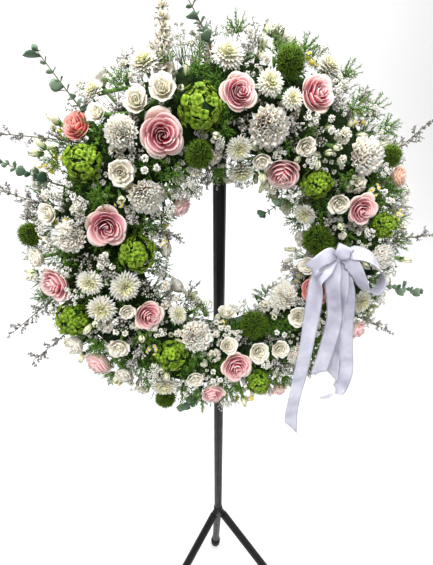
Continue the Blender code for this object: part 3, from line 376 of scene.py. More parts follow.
class Claimed:
    """Balls that what has been placed already takes up, with the node that owns each."""

    def __init__(self):
        self.places = []
        self.radii = []
        self.owners = []

    def add(self, place, radius, owner):
        self.places.append(tuple(place))
        self.radii.append(radius)
        self.owners.append(owner)

    def add_run(self, start, end, radius, owner):
        count = max(2, int((end - start).length / 0.003))
        for k in range(count + 1):
            self.add(start.lerp(end, k / count), radius, owner)

    def room(self, places, owner=None):
        """The least distance from any of the places to what other nodes than the owner hold."""
        centres = np.array(self.places)
        radii = np.array(self.radii)
        others = np.array([other != owner for other in self.owners])
        points = np.array([tuple(place) for place in places])
        distances = np.linalg.norm(points[:, None, :] - centres[None, others, :], axis=2)
        return (distances - radii[None, others]).min()


def curve_places(start, middle, end, count):
    places = []
    for k in range(count):
        t = k / (count - 1)
        places.append(start * (1 - t) ** 2 + middle * 2 * t * (1 - t) + end * t ** 2)
    return places


class Plan:
    """Where everything grows: heads, small white balls and sprays, by the solids' own rules."""

    def __init__(self):
        self.heads = []
        self.breath = []
        self.sprays = []
        self.claimed = Claimed()
        rng = random.Random(SEED)
        items = gather_items()
        relax(items)
        for item in items:
            if item.node:
                self.claimed.add(item.centre(), item.size, item.node)
        self.knot_item = next(item for item in items if item.kind == "knot")
        self.knot_root = root_place(self.knot_item.clock, self.knot_item.section)
        self.claimed.add_run(plane_point(*KNOT), self.knot_item.centre(), KNOT_CLEAR, "ribbon")
        self.claimed.add_run(self.knot_item.centre(), self.knot_root, KNOT_CLEAR, "ribbon")
        self.place_blooms(items, rng)
        self.place_loose([item for item in items if not item.node], rng)
        for kind, clock, reach, front in SPRAYS:
            self.place_spray(kind, clock, reach, front, rng)

    def claim_stem(self, item, owner, foot):
        centre, facing = section_place(item.clock, item.section, item.size)
        neck = centre - facing * item.size * NECK_SHARE
        self.claimed.add_run(neck, foot, STEM_CLEAR, owner)
        return neck

    def place_head(self, item, node, foot, rng):
        centre, facing = section_place(item.clock, item.section, item.size)
        self.heads.append((node, item.kind, centre, facing, item.size, rng.uniform(0, math.tau), foot))

    def place_blooms(self, items, rng):
        nodes = {}
        for item in items:
            if item.node and item.kind != "knot":
                nodes.setdefault(item.node, []).append(item)
        for node, group in nodes.items():
            fork = None
            for item in group:
                foot = fork or root_place(item.clock, item.section)
                neck = self.claim_stem(item, node, foot)
                fork = fork or foot.lerp(neck, FORK_SHARE)
                self.place_head(item, node, foot, rng)

    def place_loose(self, loose, rng):
        owners = [greenery_node(sector_of(item.clock)) for item in loose]
        for item, owner in zip(loose, owners):
            if item.kind != "breath":
                self.claimed.add(item.centre(), item.size, owner)
                self.claim_stem(item, owner, root_place(item.clock, item.section))
        for item, owner in zip(loose, owners):
            root = root_place(item.clock, item.section)
            if item.kind == "breath":
                self.place_breath(item, root, owner, rng)
            else:
                self.place_head(item, owner, root, rng)

    def place_breath(self, item, root, owner, rng):
        centre, facing = section_place(item.clock, item.section, item.size)
        fork = root.lerp(centre, FORK_SHARE)
        across, along = side_vectors(facing)
        tips = []
        for k in range(BREATH_BALLS):
            angle = 2 * math.pi * (k + rng.random() * 0.5) / BREATH_BALLS
            reach = item.size * (0.25 if k == 0 else 0.85)
            tip = centre + (across * math.cos(angle) + along * math.sin(angle)) * reach
            tip += facing * item.size * (0.55 if k == 0 else 0.1)
            if self.claimed.room([fork.lerp(tip, share) for share in (0.5, 0.75, 1.0)]) < BALL_ROOM:
                continue
            tips.append(tip)
            self.claimed.add(tip, BALL_CLAIM, owner)
        self.claimed.add_run(root, fork, FORK_CLEAR, owner)
        self.breath.append((owner, root, fork, tips))

    def place_spray(self, kind, clock, reach, front, rng):
        inside = reach < RING_RADIUS
        section = 150 if inside else 30
        for ring in range(6):
            for turn in range(8 if ring else 1):
                start_clock = clock + 3.0 * ring * math.cos(turn * math.pi / 4)
                start_section = section + 9.0 * ring * math.sin(turn * math.pi / 4)
                node = greenery_node(sector_of(start_clock))
                edge = (start_clock - SECTOR_START) % SECTOR_ANGLE
                if not SECTOR_EDGE <= edge <= SECTOR_ANGLE - SECTOR_EDGE:
                    continue
                root = root_place(start_clock, start_section)
                lift = ring_point(start_clock, 1.5 * ROOT_OUT * math.cos(math.radians(start_section)),
                                  0.045 if inside else 0.060)
                for swing in (0.0, 5.0, -5.0, 9.0, -9.0):
                    end = ring_point(clock + swing, reach - RING_RADIUS, front)
                    places = curve_places(root, lift, end, SPRAY_STEPS)
                    samples = [near.lerp(far, share) for near, far in zip(places, places[1:])
                               for share in (0.0, 0.33, 0.66)]
                    if self.claimed.room(samples[3:] + [end]) > SPRAY_CLEAR:
                        bits = self.spray_bits(kind, places, node, rng)
                        self.sprays.append((node, kind, root, lift, end, bits))
                        return

    def spray_bits(self, kind, places, owner, rng):
        """The places, ways and lengths of a spray's leaves or flower clusters."""
        bits = []
        for near, far in zip(places, places[1:]):
            self.claimed.add_run(near, far, TWIG_CLEAR, owner)
        direction = (places[-1] - places[-2]).normalized()
        across, along = side_vectors(direction)
        count = SPRAY_BITS[kind]
        for k in range(count):
            t = 0.50 + 0.46 * k / (count - 1)
            spot = t * (len(places) - 1)
            near = int(min(spot, len(places) - 2))
            base = places[near].lerp(places[near + 1], spot - near)
            side = 1.0 if k % 2 else -1.0
            turn = rng.uniform(-0.7, 0.7)
            outward = (across * math.cos(turn) + along * math.sin(turn)) * side
            way = (outward + direction * (0.5 if kind == "eucalyptus" else 1.0)).normalized()
            length = BIT_LENGTHS[kind] * rng.uniform(0.88, 1.12)
            samples = [base + way * length * share for share in (0.3, 0.6, 1.0)]
            if self.claimed.room(samples, owner) < BIT_CLEAR:
                continue
            bits.append((base, way, direction, length))
            for sample in samples:
                self.claimed.add(sample, BIT_CLEAR, owner)
        return bits


# Shapes: arrays of places gathered into one mesh, with a tone for each vertex.  A tone's red is
# the share of the way from a petal's base to its tip, its green a number drawn once a petal, and
# its blue how far out in its head the petal lies.
class Shape:
    def __init__(self, materials):
        self.materials = materials
        self.verts = []
        self.tones = []
        self.loops = []
        self.sizes = []
        self.slots = []
        self.count = 0

    def add(self, verts, faces, tones, material):
        """Add vertices (n, 3), faces (m, corners) that number them, and tones (n, 3)."""
        self.verts.append(verts)
        self.tones.append(tones)
        self.add_faces(faces + self.count, material)
        self.count += len(verts)

    def add_faces(self, faces, material):
        self.loops.append(faces.ravel())
        self.sizes.append(np.full(len(faces), faces.shape[1]))
        self.slots.append(np.full(len(faces), self.materials.index(material)))

    def add_copies(self, verts, faces, tones, material):
        """Add bodies that share their faces, from verts and tones (body, vertex, 3)."""
        steps = (np.arange(len(verts)) * verts.shape[1])[:, None, None]
        faces = (faces[None] + steps).reshape(-1, faces.shape[1])
        self.add(verts.reshape(-1, 3), faces, tones.reshape(-1, 3), material)

    def add_loft(self, rings, material):
        """Add a closed body through rings (ring, vertex, 3), with a cap at each end."""
        length, count = rings.shape[:2]
        start = self.count
        k, i = np.divmod(np.arange((length - 1) * count), count)
        j = (i + 1) % count
        quads = np.stack((k * count + i, k * count + j, (k + 1) * count + j, (k + 1) * count + i), axis=1)
        self.add(rings.reshape(-1, 3), quads, np.full((length * count, 3), 0.5), material)
        caps = np.array((np.arange(count)[::-1], (length - 1) * count + np.arange(count)))
        self.add_faces(caps + start, material)

    def piece(self, name):
        mesh = bpy.data.meshes.new(name)
        verts = np.vstack(self.verts)
        loops = np.concatenate(self.loops)
        sizes = np.concatenate(self.sizes)
        mesh.vertices.add(len(verts))
        mesh.vertices.foreach_set("co", verts.astype(np.float32).ravel())
        mesh.loops.add(len(loops))
        mesh.loops.foreach_set("vertex_index", loops.astype(np.int32))
        mesh.polygons.add(len(sizes))
        starts = np.concatenate(([0], np.cumsum(sizes)[:-1]))
        mesh.polygons.foreach_set("loop_start", starts.astype(np.int32))
        mesh.polygons.foreach_set("material_index", np.concatenate(self.slots).astype(np.int32))
        mesh.polygons.foreach_set("use_smooth", np.full(len(sizes), True))
        mesh.update(calc_edges=True)
        tones = np.ones((len(verts), 4), dtype=np.float32)
        tones[:, :3] = np.clip(np.vstack(self.tones), 0.0, 1.0)
        tone = mesh.attributes.new("tone", "FLOAT_COLOR", "POINT")
        tone.data.foreach_set("color", tones.ravel())
        for material in self.materials:
            mesh.materials.append(MATERIALS[material])
        thing = bpy.data.objects.new(name, mesh)
        bpy.context.scene.collection.objects.link(thing)
        return thing


LENS_FACES = {}


def lens_faces(rows, columns):
    """The quads of a thin closed body whose two sides share their rim."""
    key = (rows, columns)
    if key not in LENS_FACES:
        front = np.arange(rows * columns).reshape(rows, columns)
        back = front.copy()
        inner = (rows - 2, columns - 2)
        back[1:-1, 1:-1] = rows * columns + np.arange(inner[0] * inner[1]).reshape(inner)
        quads = []
        for side, order in ((front, (0, 1, 2, 3)), (back, (0, 3, 2, 1))):
            corners = (side[:-1, :-1], side[1:, :-1], side[1:, 1:], side[:-1, 1:])
            quads.append(np.stack([corners[k].ravel() for k in order], axis=1))
        LENS_FACES[key] = np.vstack(quads)
    return LENS_FACES[key]


def add_lenses(shape, grids, thick, tones, material):
    """Add thin closed bodies, each from a grid (petal, row, column, place) of its middle."""
    count, rows, columns = grids.shape[:3]
    normal = np.cross(np.gradient(grids, axis=1), np.gradient(grids, axis=2))
    normal /= np.linalg.norm(normal, axis=3, keepdims=True) + 1e-12
    front = grids.copy()
    inner = (slice(None), slice(1, -1), slice(1, -1))
    front[inner] += normal[inner] * thick / 2
    back = grids[inner] - normal[inner] * thick / 2
    verts = np.concatenate((front.reshape(count, -1, 3), back.reshape(count, -1, 3)), axis=1)
    shades = np.concatenate((tones.reshape(count, -1, 3), tones[inner].reshape(count, -1, 3)), axis=1)
    shape.add_copies(verts, lens_faces(rows, columns), shades, material)


def tone_grid(count, rows, columns, rng, layer):
    """Tones for petals in a grid, with layer a number or one number a petal."""
    tones = np.zeros((count, rows, columns, 3))
    tones[..., 0] = np.linspace(0.0, 1.0, rows)[None, :, None]
    tones[..., 1] = rng.random(count)[:, None, None]
    tones[..., 2] = np.broadcast_to(np.asarray(layer, dtype=float), (count,))[:, None, None]
    return tones


def place_local(points, centre, facing, size, spin):
    """Points from a head's own space, radius 1 and facing +Z, to its place."""
    turn = np.array(facing.to_track_quat("Z", "Y").to_matrix())
    cos, sin = math.cos(spin), math.sin(spin)
    twist = np.array(((cos, -sin, 0.0), (sin, cos, 0.0), (0.0, 0.0, 1.0)))
    return points @ (turn @ twist).T * size + np.array(centre)


def bowl_petals(count, low, rim, half, rng, curl=0.0, wrap=0.0, ruffle=0.0, teeth=0.0, waves=2.0,
                rows=6, columns=6, point=0.0):
    """Petals round an axis, each from low (radius, height) to rim (radius, height)."""
    v = np.linspace(0.0, 1.0, rows)[None, :, None]
    u = np.linspace(-1.0, 1.0, columns)[None, None, :]
    start = (np.arange(count) + rng.random() + rng.normal(0.0, 0.10, count)) * 2 * math.pi / count
    jitter = rng.normal(0.0, 1.0, (count, 1, 1))
    share = v * (1.0 - 0.20 * u ** 4 - 0.07 * u ** 2 - point * np.abs(u) ** 1.5)
    if teeth:
        alternate = np.where(np.arange(columns) % 2, 1.0, -1.0)[None, None, :]
        uneven = rng.normal(0.0, teeth * 0.4, (count, 1, columns))
        share = share + teeth * alternate * v ** 4 + uneven * v ** 4
    swing = share * math.pi / 2
    radius = low[0] + (rim[0] - low[0]) * np.sin(swing)
    height = low[1] + (rim[1] - low[1]) * (1.0 - np.cos(swing)) ** 0.8
    over = np.clip((share - 0.68) / 0.32, 0.0, None) ** 2
    radius = radius + curl * over * (1.0 + 0.25 * jitter)
    height = height - curl * 0.55 * over + 0.025 * jitter * v
    phase = rng.random((count, 1, 1)) * 2 * math.pi
    wave = np.sin(waves * math.pi * u + phase)
    radius = radius * (1.0 + 0.03 * jitter) + wrap * u * (0.3 + 0.7 * v) + ruffle * wave * v ** 2
    height = height + ruffle * 0.8 * np.cos(waves * math.pi * u + phase * 1.7) * v ** 2
    spread = half * (0.45 + 0.55 * np.sin(math.pi * (0.08 + 0.62 * v)))
    angle = start[:, None, None] + spread * u
    radius = np.maximum(radius, 0.01)
    return np.stack((radius * np.cos(angle), radius * np.sin(angle), height + 0.0 * angle), axis=3)


def unit(vectors):
    return vectors / (np.linalg.norm(vectors, axis=-1, keepdims=True) + 1e-12)


def blades(origin, way, normal, length, width, rows=5, columns=3, arch=0.0, cup=0.0, droop=0.0, blunt=1.0):
    """Leaves or straps from their origins, all arrays with one row a blade."""
    way = unit(way)
    side = unit(np.cross(normal, way))
    normal = unit(np.cross(way, side))
    v = np.linspace(0.0, 1.0, rows)[None, :, None, None]
    u = np.linspace(-1.0, 1.0, columns)[None, None, :, None]
    length = np.broadcast_to(length, (len(origin),))[:, None, None, None]
    width = np.broadcast_to(width, (len(origin),))[:, None, None, None]
    outline = np.clip(np.sin(math.pi * v ** blunt), 0.0, 1.0) ** 0.8 + 0.06
    rise = arch * 4 * v * (1 - v) - droop * v ** 2
    lift = length * rise + width * (cup * u ** 2 * outline)
    return (origin[:, None, None, :] + way[:, None, None, :] * length * v + normal[:, None, None, :] * lift
            + side[:, None, None, :] * width / 2 * u * outline)


def add_flakes(shape, origin, way, normal, length, width, thick, tones, material):
    """Tiny closed petals, each a flat lozenge of eight triangles."""
    way = unit(way)
    side = unit(np.cross(normal, way))
    normal = np.cross(way, side)
    length = np.broadcast_to(length, (len(origin),))[:, None]
    width = np.broadcast_to(width, (len(origin),))[:, None]
    middle = origin + way * length * 0.58
    corners = (origin, middle + side * width / 2, origin + way * length, middle - side * width / 2,
               middle + normal * thick, middle - normal * thick)
    verts = np.stack(corners, axis=1)
    faces = np.array(((0, 1, 4), (1, 2, 4), (2, 3, 4), (3, 0, 4), (1, 0, 5), (2, 1, 5), (3, 2, 5), (0, 3, 5)))
    shades = np.repeat(tones[:, None, :], 6, axis=1)
    shades[:, :, 0] = (0.0, 0.6, 1.0, 0.6, 0.6, 0.6)
    shape.add_copies(verts, faces, shades, material)


def add_spikes(shape, origin, way, length, radius, tones, material):
    """Three-sided needles with closed bases."""
    way = unit(way)
    helper = np.where(np.abs(way[:, 2:3]) < 0.9, ((0.0, 0.0, 1.0),), ((1.0, 0.0, 0.0),))
    across = unit(np.cross(way, helper))
    along = np.cross(way, across)
    length = np.broadcast_to(length, (len(origin),))[:, None]
    radius = np.broadcast_to(radius, (len(origin),))[:, None]
    corners = []
    for k in range(3):
        angle = 2 * math.pi * k / 3
        corners.append(origin + (across * math.cos(angle) + along * math.sin(angle)) * radius)
    corners.append(origin + way * length)
    verts = np.stack(corners, axis=1)
    faces = np.array(((0, 1, 3), (1, 2, 3), (2, 0, 3), (2, 1, 0)))
    shades = np.repeat(tones[:, None, :], 4, axis=1)
    shades[:, 3, 0] = 1.0
    shape.add_copies(verts, faces, shades, material)


def add_tube(shape, places, radii, material, sides=5):
    """A closed stem through places."""
    places = np.array([tuple(place) for place in places])
    radii = np.broadcast_to(radii, (len(places),))
    way = unit(np.gradient(places, axis=0))
    across = unit(np.cross(way, np.array((0.31, 0.17, 0.94))))
    along = np.cross(way, across)
    angles = (2 * math.pi * np.arange(sides) / sides)[None, :, None]
    ring = across[:, None, :] * np.cos(angles) + along[:, None, :] * np.sin(angles)
    shape.add_loft(places[:, None, :] + ring * radii[:, None, None], material)


def ball_template():
    """Places and faces of a small round ball of 80 triangles."""
    bm = bmesh.new()
    bmesh.ops.create_icosphere(bm, subdivisions=2, radius=1.0)
    verts = np.array([tuple(vertex.co) for vertex in bm.verts])
    faces = np.array([[vertex.index for vertex in face.verts] for face in bm.faces])
    bm.free()
    return verts, faces


BALL_VERTS, BALL_FACES = ball_template()


def add_balls(shape, centres, radii, rng, material, layer=0.5, squash=(1.0, 1.0, 1.0)):
    centres = np.asarray(centres)
    radii = np.broadcast_to(radii, (len(centres),))
    verts = centres[:, None, :] + BALL_VERTS[None] * np.array(squash) * radii[:, None, None]
    tones = np.zeros((len(centres), len(BALL_VERTS), 3))
    # A ball's along runs from its underside to its top, so a paint that darkens feet gives it painted shade
    # underneath.
    tones[..., 0] = (BALL_VERTS[None, :, 2] + 1.0) / 2
    tones[..., 1] = rng.random(len(centres))[:, None]
    tones[..., 2] = layer
    shape.add_copies(verts, BALL_FACES, tones, material)


def dome_points(count, lowest):
    """Even unit directions over a sphere above a height."""
    k = np.arange(count)
    z = 1.0 - (1.0 - lowest) * (k + 0.5) / count
    angle = k * math.pi * (3.0 - math.sqrt(5.0))
    wide = np.sqrt(1.0 - z ** 2)
    return np.stack((wide * np.cos(angle), wide * np.sin(angle), z), axis=1)


def loose_dome(count, lowest, spread, rng):
    """Unit directions over a sphere above a height, each turned a little at random."""
    return unit(dome_points(count, lowest) + rng.normal(0.0, spread, (count, 3)))


def circle(angles):
    return np.stack((np.cos(angles), np.sin(angles), np.zeros(len(angles))), axis=1)


def drawn_tones(count, along, layer, rng):
    """A tone for each of count small things, with along and layer a number or one number each."""
    tones = np.empty((count, 3))
    tones[:, 0] = along
    tones[:, 1] = rng.random(count)
    tones[:, 2] = layer
    return tones


def add_petals(shape, grids, thick, layer, rng, material, place=None):
    """Petals or leaves from grids, in a head's own space where its place is given."""
    tones = tone_grid(*grids.shape[:3], rng, layer)
    if place:
        grids = place_local(grids, *place)
    add_lenses(shape, grids, thick, tones, material)


# Each layer of a head: count, low (radius, height), rim (radius, height), half width, curl, layer
ROSE_LAYERS = (
    (2, (0.02, -0.20), (0.09, 0.56), 1.9, 0.0, 0.0), (3, (0.05, -0.25), (0.19, 0.61), 1.30, 0.0, 0.05),
    (4, (0.09, -0.30), (0.31, 0.60), 1.02, 0.01, 0.15), (5, (0.12, -0.38), (0.45, 0.55), 0.86, 0.04, 0.32),
    (4, (0.14, -0.46), (0.62, 0.47), 1.12, 0.07, 0.60), (4, (0.16, -0.54), (0.80, 0.36), 1.12, 0.12, 0.84),
    (5, (0.16, -0.60), (0.90, 0.20), 0.98, 0.16, 1.0),
)
LISIANTHUS_LAYERS = (
    (2, (0.03, -0.30), (0.12, 0.44), 1.70, 0.02, 0.1), (3, (0.06, -0.35), (0.30, 0.52), 1.25, 0.02, 0.3),
    (4, (0.10, -0.44), (0.58, 0.52), 1.05, 0.06, 0.6), (5, (0.12, -0.52), (0.84, 0.40), 0.98, 0.13, 1.0),
)
CARNATION_LAYERS = (
    (4, (0.04, -0.25), (0.12, 0.64), 0.95, 0.02, 0.0), (6, (0.05, -0.28), (0.26, 0.66), 0.90, 0.04, 0.2),
    (8, (0.06, -0.32), (0.42, 0.64), 0.72, 0.06, 0.35), (9, (0.08, -0.38), (0.58, 0.56), 0.66, 0.08, 0.55),
    (10, (0.10, -0.42), (0.74, 0.42), 0.58, 0.08, 0.75), (11, (0.10, -0.46), (0.86, 0.24), 0.52, 0.08, 0.9),
    (10, (0.10, -0.50), (0.92, 0.02), 0.52, 0.06, 1.0),
)
STOCK_LAYERS = (
    (3, (0.05, -0.4), (0.35, 0.45), 1.2, 0.05, 0.4), (5, (0.10, -0.5), (0.88, 0.20), 0.8, 0.15, 1.0),
)
BUD_LAYERS = (
    (3, (0.05, -0.75), (0.20, 0.90), 1.3, 0.0, 0.2), (4, (0.08, -0.8), (0.40, 0.72), 1.0, -0.20, 0.9),
)
SEPAL_LAYERS = ((5, (0.10, -0.85), (0.46, -0.10), 0.55, 0.05, 0.5),)
# Each layer of a daisy-like head: count, base (radius, height), tip (radius, height), layer
MUM_LAYERS = (
    (26, (0.10, -0.22), (1.02, -0.06), 1.0), (24, (0.10, -0.10), (0.98, 0.14), 0.85),
    (22, (0.08, 0.0), (0.82, 0.32), 0.65), (16, (0.06, 0.08), (0.58, 0.44), 0.4),
    (12, (0.03, 0.12), (0.32, 0.50), 0.15), (7, (0.01, 0.16), (0.13, 0.52), 0.0),
)


def add_bowl_head(shape, layers, place, rng, material, thick, **words):
    for count, low, rim, half, curl, layer in layers:
        grids = bowl_petals(count, low, rim, half, rng, curl=curl, **words)
        add_petals(shape, grids, thick, layer, rng, material, place)


def add_rose(shape, place, rng, material):
    add_bowl_head(shape, ROSE_LAYERS[:4], place, rng, material, PETAL_MEDIUM,
                  wrap=0.060, ruffle=0.016, waves=1.4, rows=8)
    add_bowl_head(shape, ROSE_LAYERS[4:], place, rng, material, PETAL_MEDIUM,
                  wrap=0.075, ruffle=0.022, waves=1.2, rows=9, columns=9, point=0.15)


def add_lisianthus(shape, place, rng):
    add_bowl_head(shape, LISIANTHUS_LAYERS, place, rng, "lisianthus", PETAL_THICK,
                  wrap=0.05, ruffle=0.050, waves=2.3, columns=8)


def add_carnation(shape, place, rng):
    add_bowl_head(shape, CARNATION_LAYERS, place, rng, "carnation", PETAL_THIN,
                  wrap=0.06, ruffle=0.095, teeth=0.024, waves=2.8, rows=5, columns=11)


def add_small_double(shape, place, ruffle, rng):
    """A small double white flower of a stock."""
    add_bowl_head(shape, STOCK_LAYERS, place, rng, "lisianthus", PETAL_THIN,
                  wrap=0.06, ruffle=ruffle, rows=4, columns=4)


def add_core(shape, place, depth, share, rng, material, layer):
    """A dark ball that closes a head's inside, its dark paint standing for the shade deep in the head."""
    middle = place_local(np.array(((0.0, 0.0, -depth),)), *place)
    add_balls(shape, middle, place[2] * share, rng, material, layer)


def add_mum(shape, place, rng):
    for count, base, tip, layer in MUM_LAYERS:
        angle = (np.arange(count) + rng.normal(0.0, 0.16, count)) * 2 * math.pi / count + layer
        out = circle(angle)
        up = np.array((0.0, 0.0, 1.0))
        origin = out * base[0] + up * base[1]
        end = out * (tip[0] * rng.uniform(0.90, 1.04, count))[:, None]
        end = end + up * (tip[1] + rng.normal(0.0, 0.05, count))[:, None]
        way = end - origin
        length = np.linalg.norm(way, axis=1)
        grids = blades(origin, way, np.tile(up, (count, 1)), length, 0.20, arch=-0.06, cup=0.30, blunt=1.5)
        add_petals(shape, grids, PETAL_THICK, layer, rng, "mum", place)


def add_hydrangea(shape, place, rng):
    """A dome of four-petalled florets, each leaning out by its own amount."""
    count = FLORETS
    normals = loose_dome(count, -0.55, 0.16, rng)
    spots = normals * np.array((0.84, 0.84, 0.80)) * rng.uniform(0.72, 1.12, (count, 1))
    helper = unit(rng.normal(0.0, 1.0, (count, 3)))
    across = unit(np.cross(normals, helper))
    along = np.cross(normals, across)
    # Florets low on the dome get a low layer and so the darker inner colour: painted shade under the head.
    layer = np.clip(0.5 + 0.5 * spots[:, 2], 0.0, 1.0)
    lean = rng.uniform(0.05, 0.95, count)
    for k in range(4):
        turn = k * math.pi / 2
        way = across * math.cos(turn) + along * math.sin(turn) + normals * lean[:, None]
        grids = blades(spots - way * 0.01, way, normals, 0.31, 0.34,
                       rows=4, columns=3, cup=0.20, arch=0.06, blunt=1.35)
        add_petals(shape, grids, PETAL_MEDIUM, layer, rng, "hydrangea", place)
    add_core(shape, place, 0.05, 0.70, rng, "darkleaf", 0.3)


def add_greenball(shape, place, rng):
    """A ball of fine green hairs with shallow dents."""
    size = place[2]
    count = BALL_HAIRS
    normals = loose_dome(count, -0.62, 0.06, rng)
    way = unit(normals + rng.normal(0.0, 0.42, (count, 3)))
    tones = drawn_tones(count, 0.0, 0.8, rng)
    dents = 1.0 + 0.07 * np.sin(7.0 * normals[:, :1] + 5.0 * normals[:, 1:2])
    spots = normals * np.array((0.66, 0.66, 0.60)) * dents
    origin = place_local(spots, *place)
    add_spikes(shape, origin, place_local(spots + way, *place) - origin,
               size * rng.uniform(0.20, 0.44, count), size * 0.030, tones, "greenball")
    add_core(shape, place, 0.02, 0.66, rng, "moss_and_shade", 0.1)


def add_fern(shape, place, rng):
    """Short twigs that fan out, each ringed with needles."""
    size = place[2]
    number, count = FERN_LARGE if size > FERN_FULL else FERN_SMALL
    twigs = loose_dome(number, -0.15, 0.12, rng)
    start = np.array((0.0, 0.0, -0.45))
    for twig in twigs:
        end = twig * rng.uniform(0.85, 1.12)
        way = end - start
        share = np.linspace(0.25, 1.0, count)
        spots = start + way * share[:, None]
        spread = unit(np.cross(way, rng.normal(0.0, 1.0, (count, 3))))
        needle = unit(spread + unit(way) * 0.75)
        tones = drawn_tones(count, 0.2, share, rng)
        origin = place_local(spots, *place)
        add_spikes(shape, origin, place_local(spots + needle, *place) - origin,
                   size * (0.38 - 0.16 * share), size * 0.036, tones, "fern")
        stem = place_local(np.array((start, end)), *place)
        reach = stem[1] - stem[0]
        add_spikes(shape, stem[:1], reach[None], np.linalg.norm(reach), size * 0.03,
                   np.array(((0.2, 0.5, 0.2),)), "fern")


def add_bud(shape, place, rng):
    centre, facing, size, spin = place
    place = (Vector(centre) + Vector(facing) * size * BUD_RISE, facing, size * BUD_SCALE, spin)
    add_bowl_head(shape, BUD_LAYERS, place, rng, "bud", PETAL_MEDIUM, wrap=0.06, rows=5, columns=5)
    add_bowl_head(shape, SEPAL_LAYERS, place, rng, "leaf", PETAL_MEDIUM, point=0.4, rows=4, columns=4)


def add_pompon(shape, centre, facing, radius, rng, count=16):
    """A ball of tiny white petals."""
    normals = loose_dome(count, -0.5, 0.10, rng)
    place = (centre, facing, radius, 0.0)
    helper = unit(rng.normal(0.0, 1.0, (count, 3)))
    origin = place_local(normals * 0.15, *place)
    way = place_local(normals * 1.15 + helper * 0.3, *place) - origin
    tones = drawn_tones(count, 0.0, 0.8, rng)
    add_flakes(shape, origin, way, helper, radius * 0.95, radius * 1.05, PETAL_THIN, tones, "breath")


def add_stem(shape, centre, facing, size, foot):
    neck = centre - facing * size * 0.45
    middle = neck.lerp(foot, 0.5)
    add_tube(shape, (neck, middle, foot), (STEM_RADIUS * 1.5, STEM_RADIUS, STEM_RADIUS * 0.8), "stem")


HEAD_MAKERS = {
    "lisianthus": add_lisianthus, "carnation": add_carnation, "mum": add_mum, "hydrangea": add_hydrangea,
    "greenball": add_greenball, "fern": add_fern, "bud": add_bud,
}


def add_head(shape, node, kind, centre, facing, size, spin, foot, rng):
    place = (centre, facing, size, spin)
    if kind == "rose":
        add_rose(shape, place, rng, ROSE_COLOURS.get(node, "rose"))
    else:
        HEAD_MAKERS[kind](shape, place, rng)
    if kind != "fern":
        add_stem(shape, centre, facing, size, foot)


def spray_line(shape, root, lift, end, thick, thin, material):
    """A spray's stem, and the places along it."""
    places = curve_places(root, lift, end, SPRAY_COUNT)
    add_tube(shape, places, np.linspace(thick, thin, SPRAY_COUNT), material)
    return np.array([tuple(place) for place in places])


def way_at(places, before, after):
    return unit(places[min(after, SPRAY_COUNT - 1)] - places[before])


def spray_sides(places, rng):
    """For each place on a spray's upper part, the stem's way and a random way across it."""
    for k in range(SPRAY_BARE, SPRAY_COUNT):
        direction = way_at(places, k - 1, k + 1)
        yield k, direction, unit(np.cross(direction, rng.normal(0.0, 1.0, 3)))


def add_eucalyptus(shape, root, lift, end, bits, rng):
    places = spray_line(shape, root, lift, end, 0.0016, 0.0007, "twig")
    leaves = []
    for base, way, direction, length in bits:
        leaves.append((np.array(base), np.array(way), np.array(direction), length))
    for k, direction, across in spray_sides(places, rng):
        for side in (1.0, -1.0):
            way = unit(across * side + direction * 0.6)
            leaves.append((places[k], way, direction, 0.0165 - 0.0007 * k))
    for base, way, direction, length in leaves:
        normal = unit(np.cross(way, np.cross(direction, way))) + 0.3 * rng.normal(0.0, 1.0, 3)
        grids = blades(base[None], way[None], normal[None], length, length * 0.80,
                       rows=6, columns=5, arch=0.05, cup=0.10, blunt=1.2)
        add_petals(shape, grids, EUCALYPTUS_THICK, 0.5, rng, "eucalyptus")
    way = way_at(places, -2, SPRAY_COUNT)
    grids = blades(places[-1:], way[None], np.array(RING_FACE)[None], 0.010, 0.008, rows=6, columns=5)
    add_petals(shape, grids, EUCALYPTUS_THICK, 0.7, rng, "eucalyptus")


def add_plume(shape, base, way, length, rng, count=18, material="lavender"):
    """A thin side twig set with tiny flowers, curling a little at its tip."""
    base = np.array(base)
    way = np.array(way)
    bend = unit(np.cross(way, rng.normal(0.0, 1.0, 3))) * length * 0.22
    share = np.linspace(0.0, 1.0, 5)[:, None]
    line = base + way * length * share + bend * share ** 2
    add_tube(shape, line, np.linspace(0.0007, 0.0004, 5), "twig", sides=3)
    share = np.linspace(0.22, 1.0, count)[:, None]
    spots = base + way * length * share + bend * share ** 2
    out = unit(np.cross(way, rng.normal(0.0, 1.0, (count, 3))) + way * 0.5)
    tones = drawn_tones(count, share[:, 0], share[:, 0], rng)
    normal = rng.normal(0.0, 1.0, (count, 3))
    length = rng.uniform(0.0036, 0.0056, count)
    add_flakes(shape, spots, out, normal, length, 0.0036, PETAL_THICK, tones, material)


def add_lavender(shape, root, lift, end, bits, rng):
    places = spray_line(shape, root, lift, end, 0.0014, 0.0006, "twig")
    for base, way, _, length in bits:
        add_plume(shape, base, way, length, rng)
    for k, direction, across in spray_sides(places, rng):
        side = 1.0 if k % 2 else -1.0
        add_plume(shape, places[k], unit(across * side + direction * 1.2), 0.020 - 0.0006 * k, rng, count=10)


def add_stock_column(shape, root, lift, end, _, rng):
    """A stem set all round with small double white flowers, smaller towards its tip."""
    places = spray_line(shape, root, lift, end, 0.0018, 0.0010, "stem")
    for k, spot in enumerate(places[STOCK_BARE:]):
        size = STOCK_RADIUS * (1.0 - 0.05 * k)
        direction = Vector(way_at(places, k + STOCK_BARE - 1, k + STOCK_BARE + 1))
        for turn in range(3):
            angle = (turn / 3 + 0.27 * k) * math.tau
            side = direction.orthogonal().normalized()
            side.rotate(Quaternion(direction, angle))
            facing = (side + direction * 0.5).normalized()
            place = (Vector(spot) + side * size * 0.55, facing, size, rng.uniform(0.0, math.tau))
            add_small_double(shape, place, 0.07, rng)


SPRAY_MAKERS = {"eucalyptus": add_eucalyptus, "lavender": add_lavender, "stock": add_stock_column}


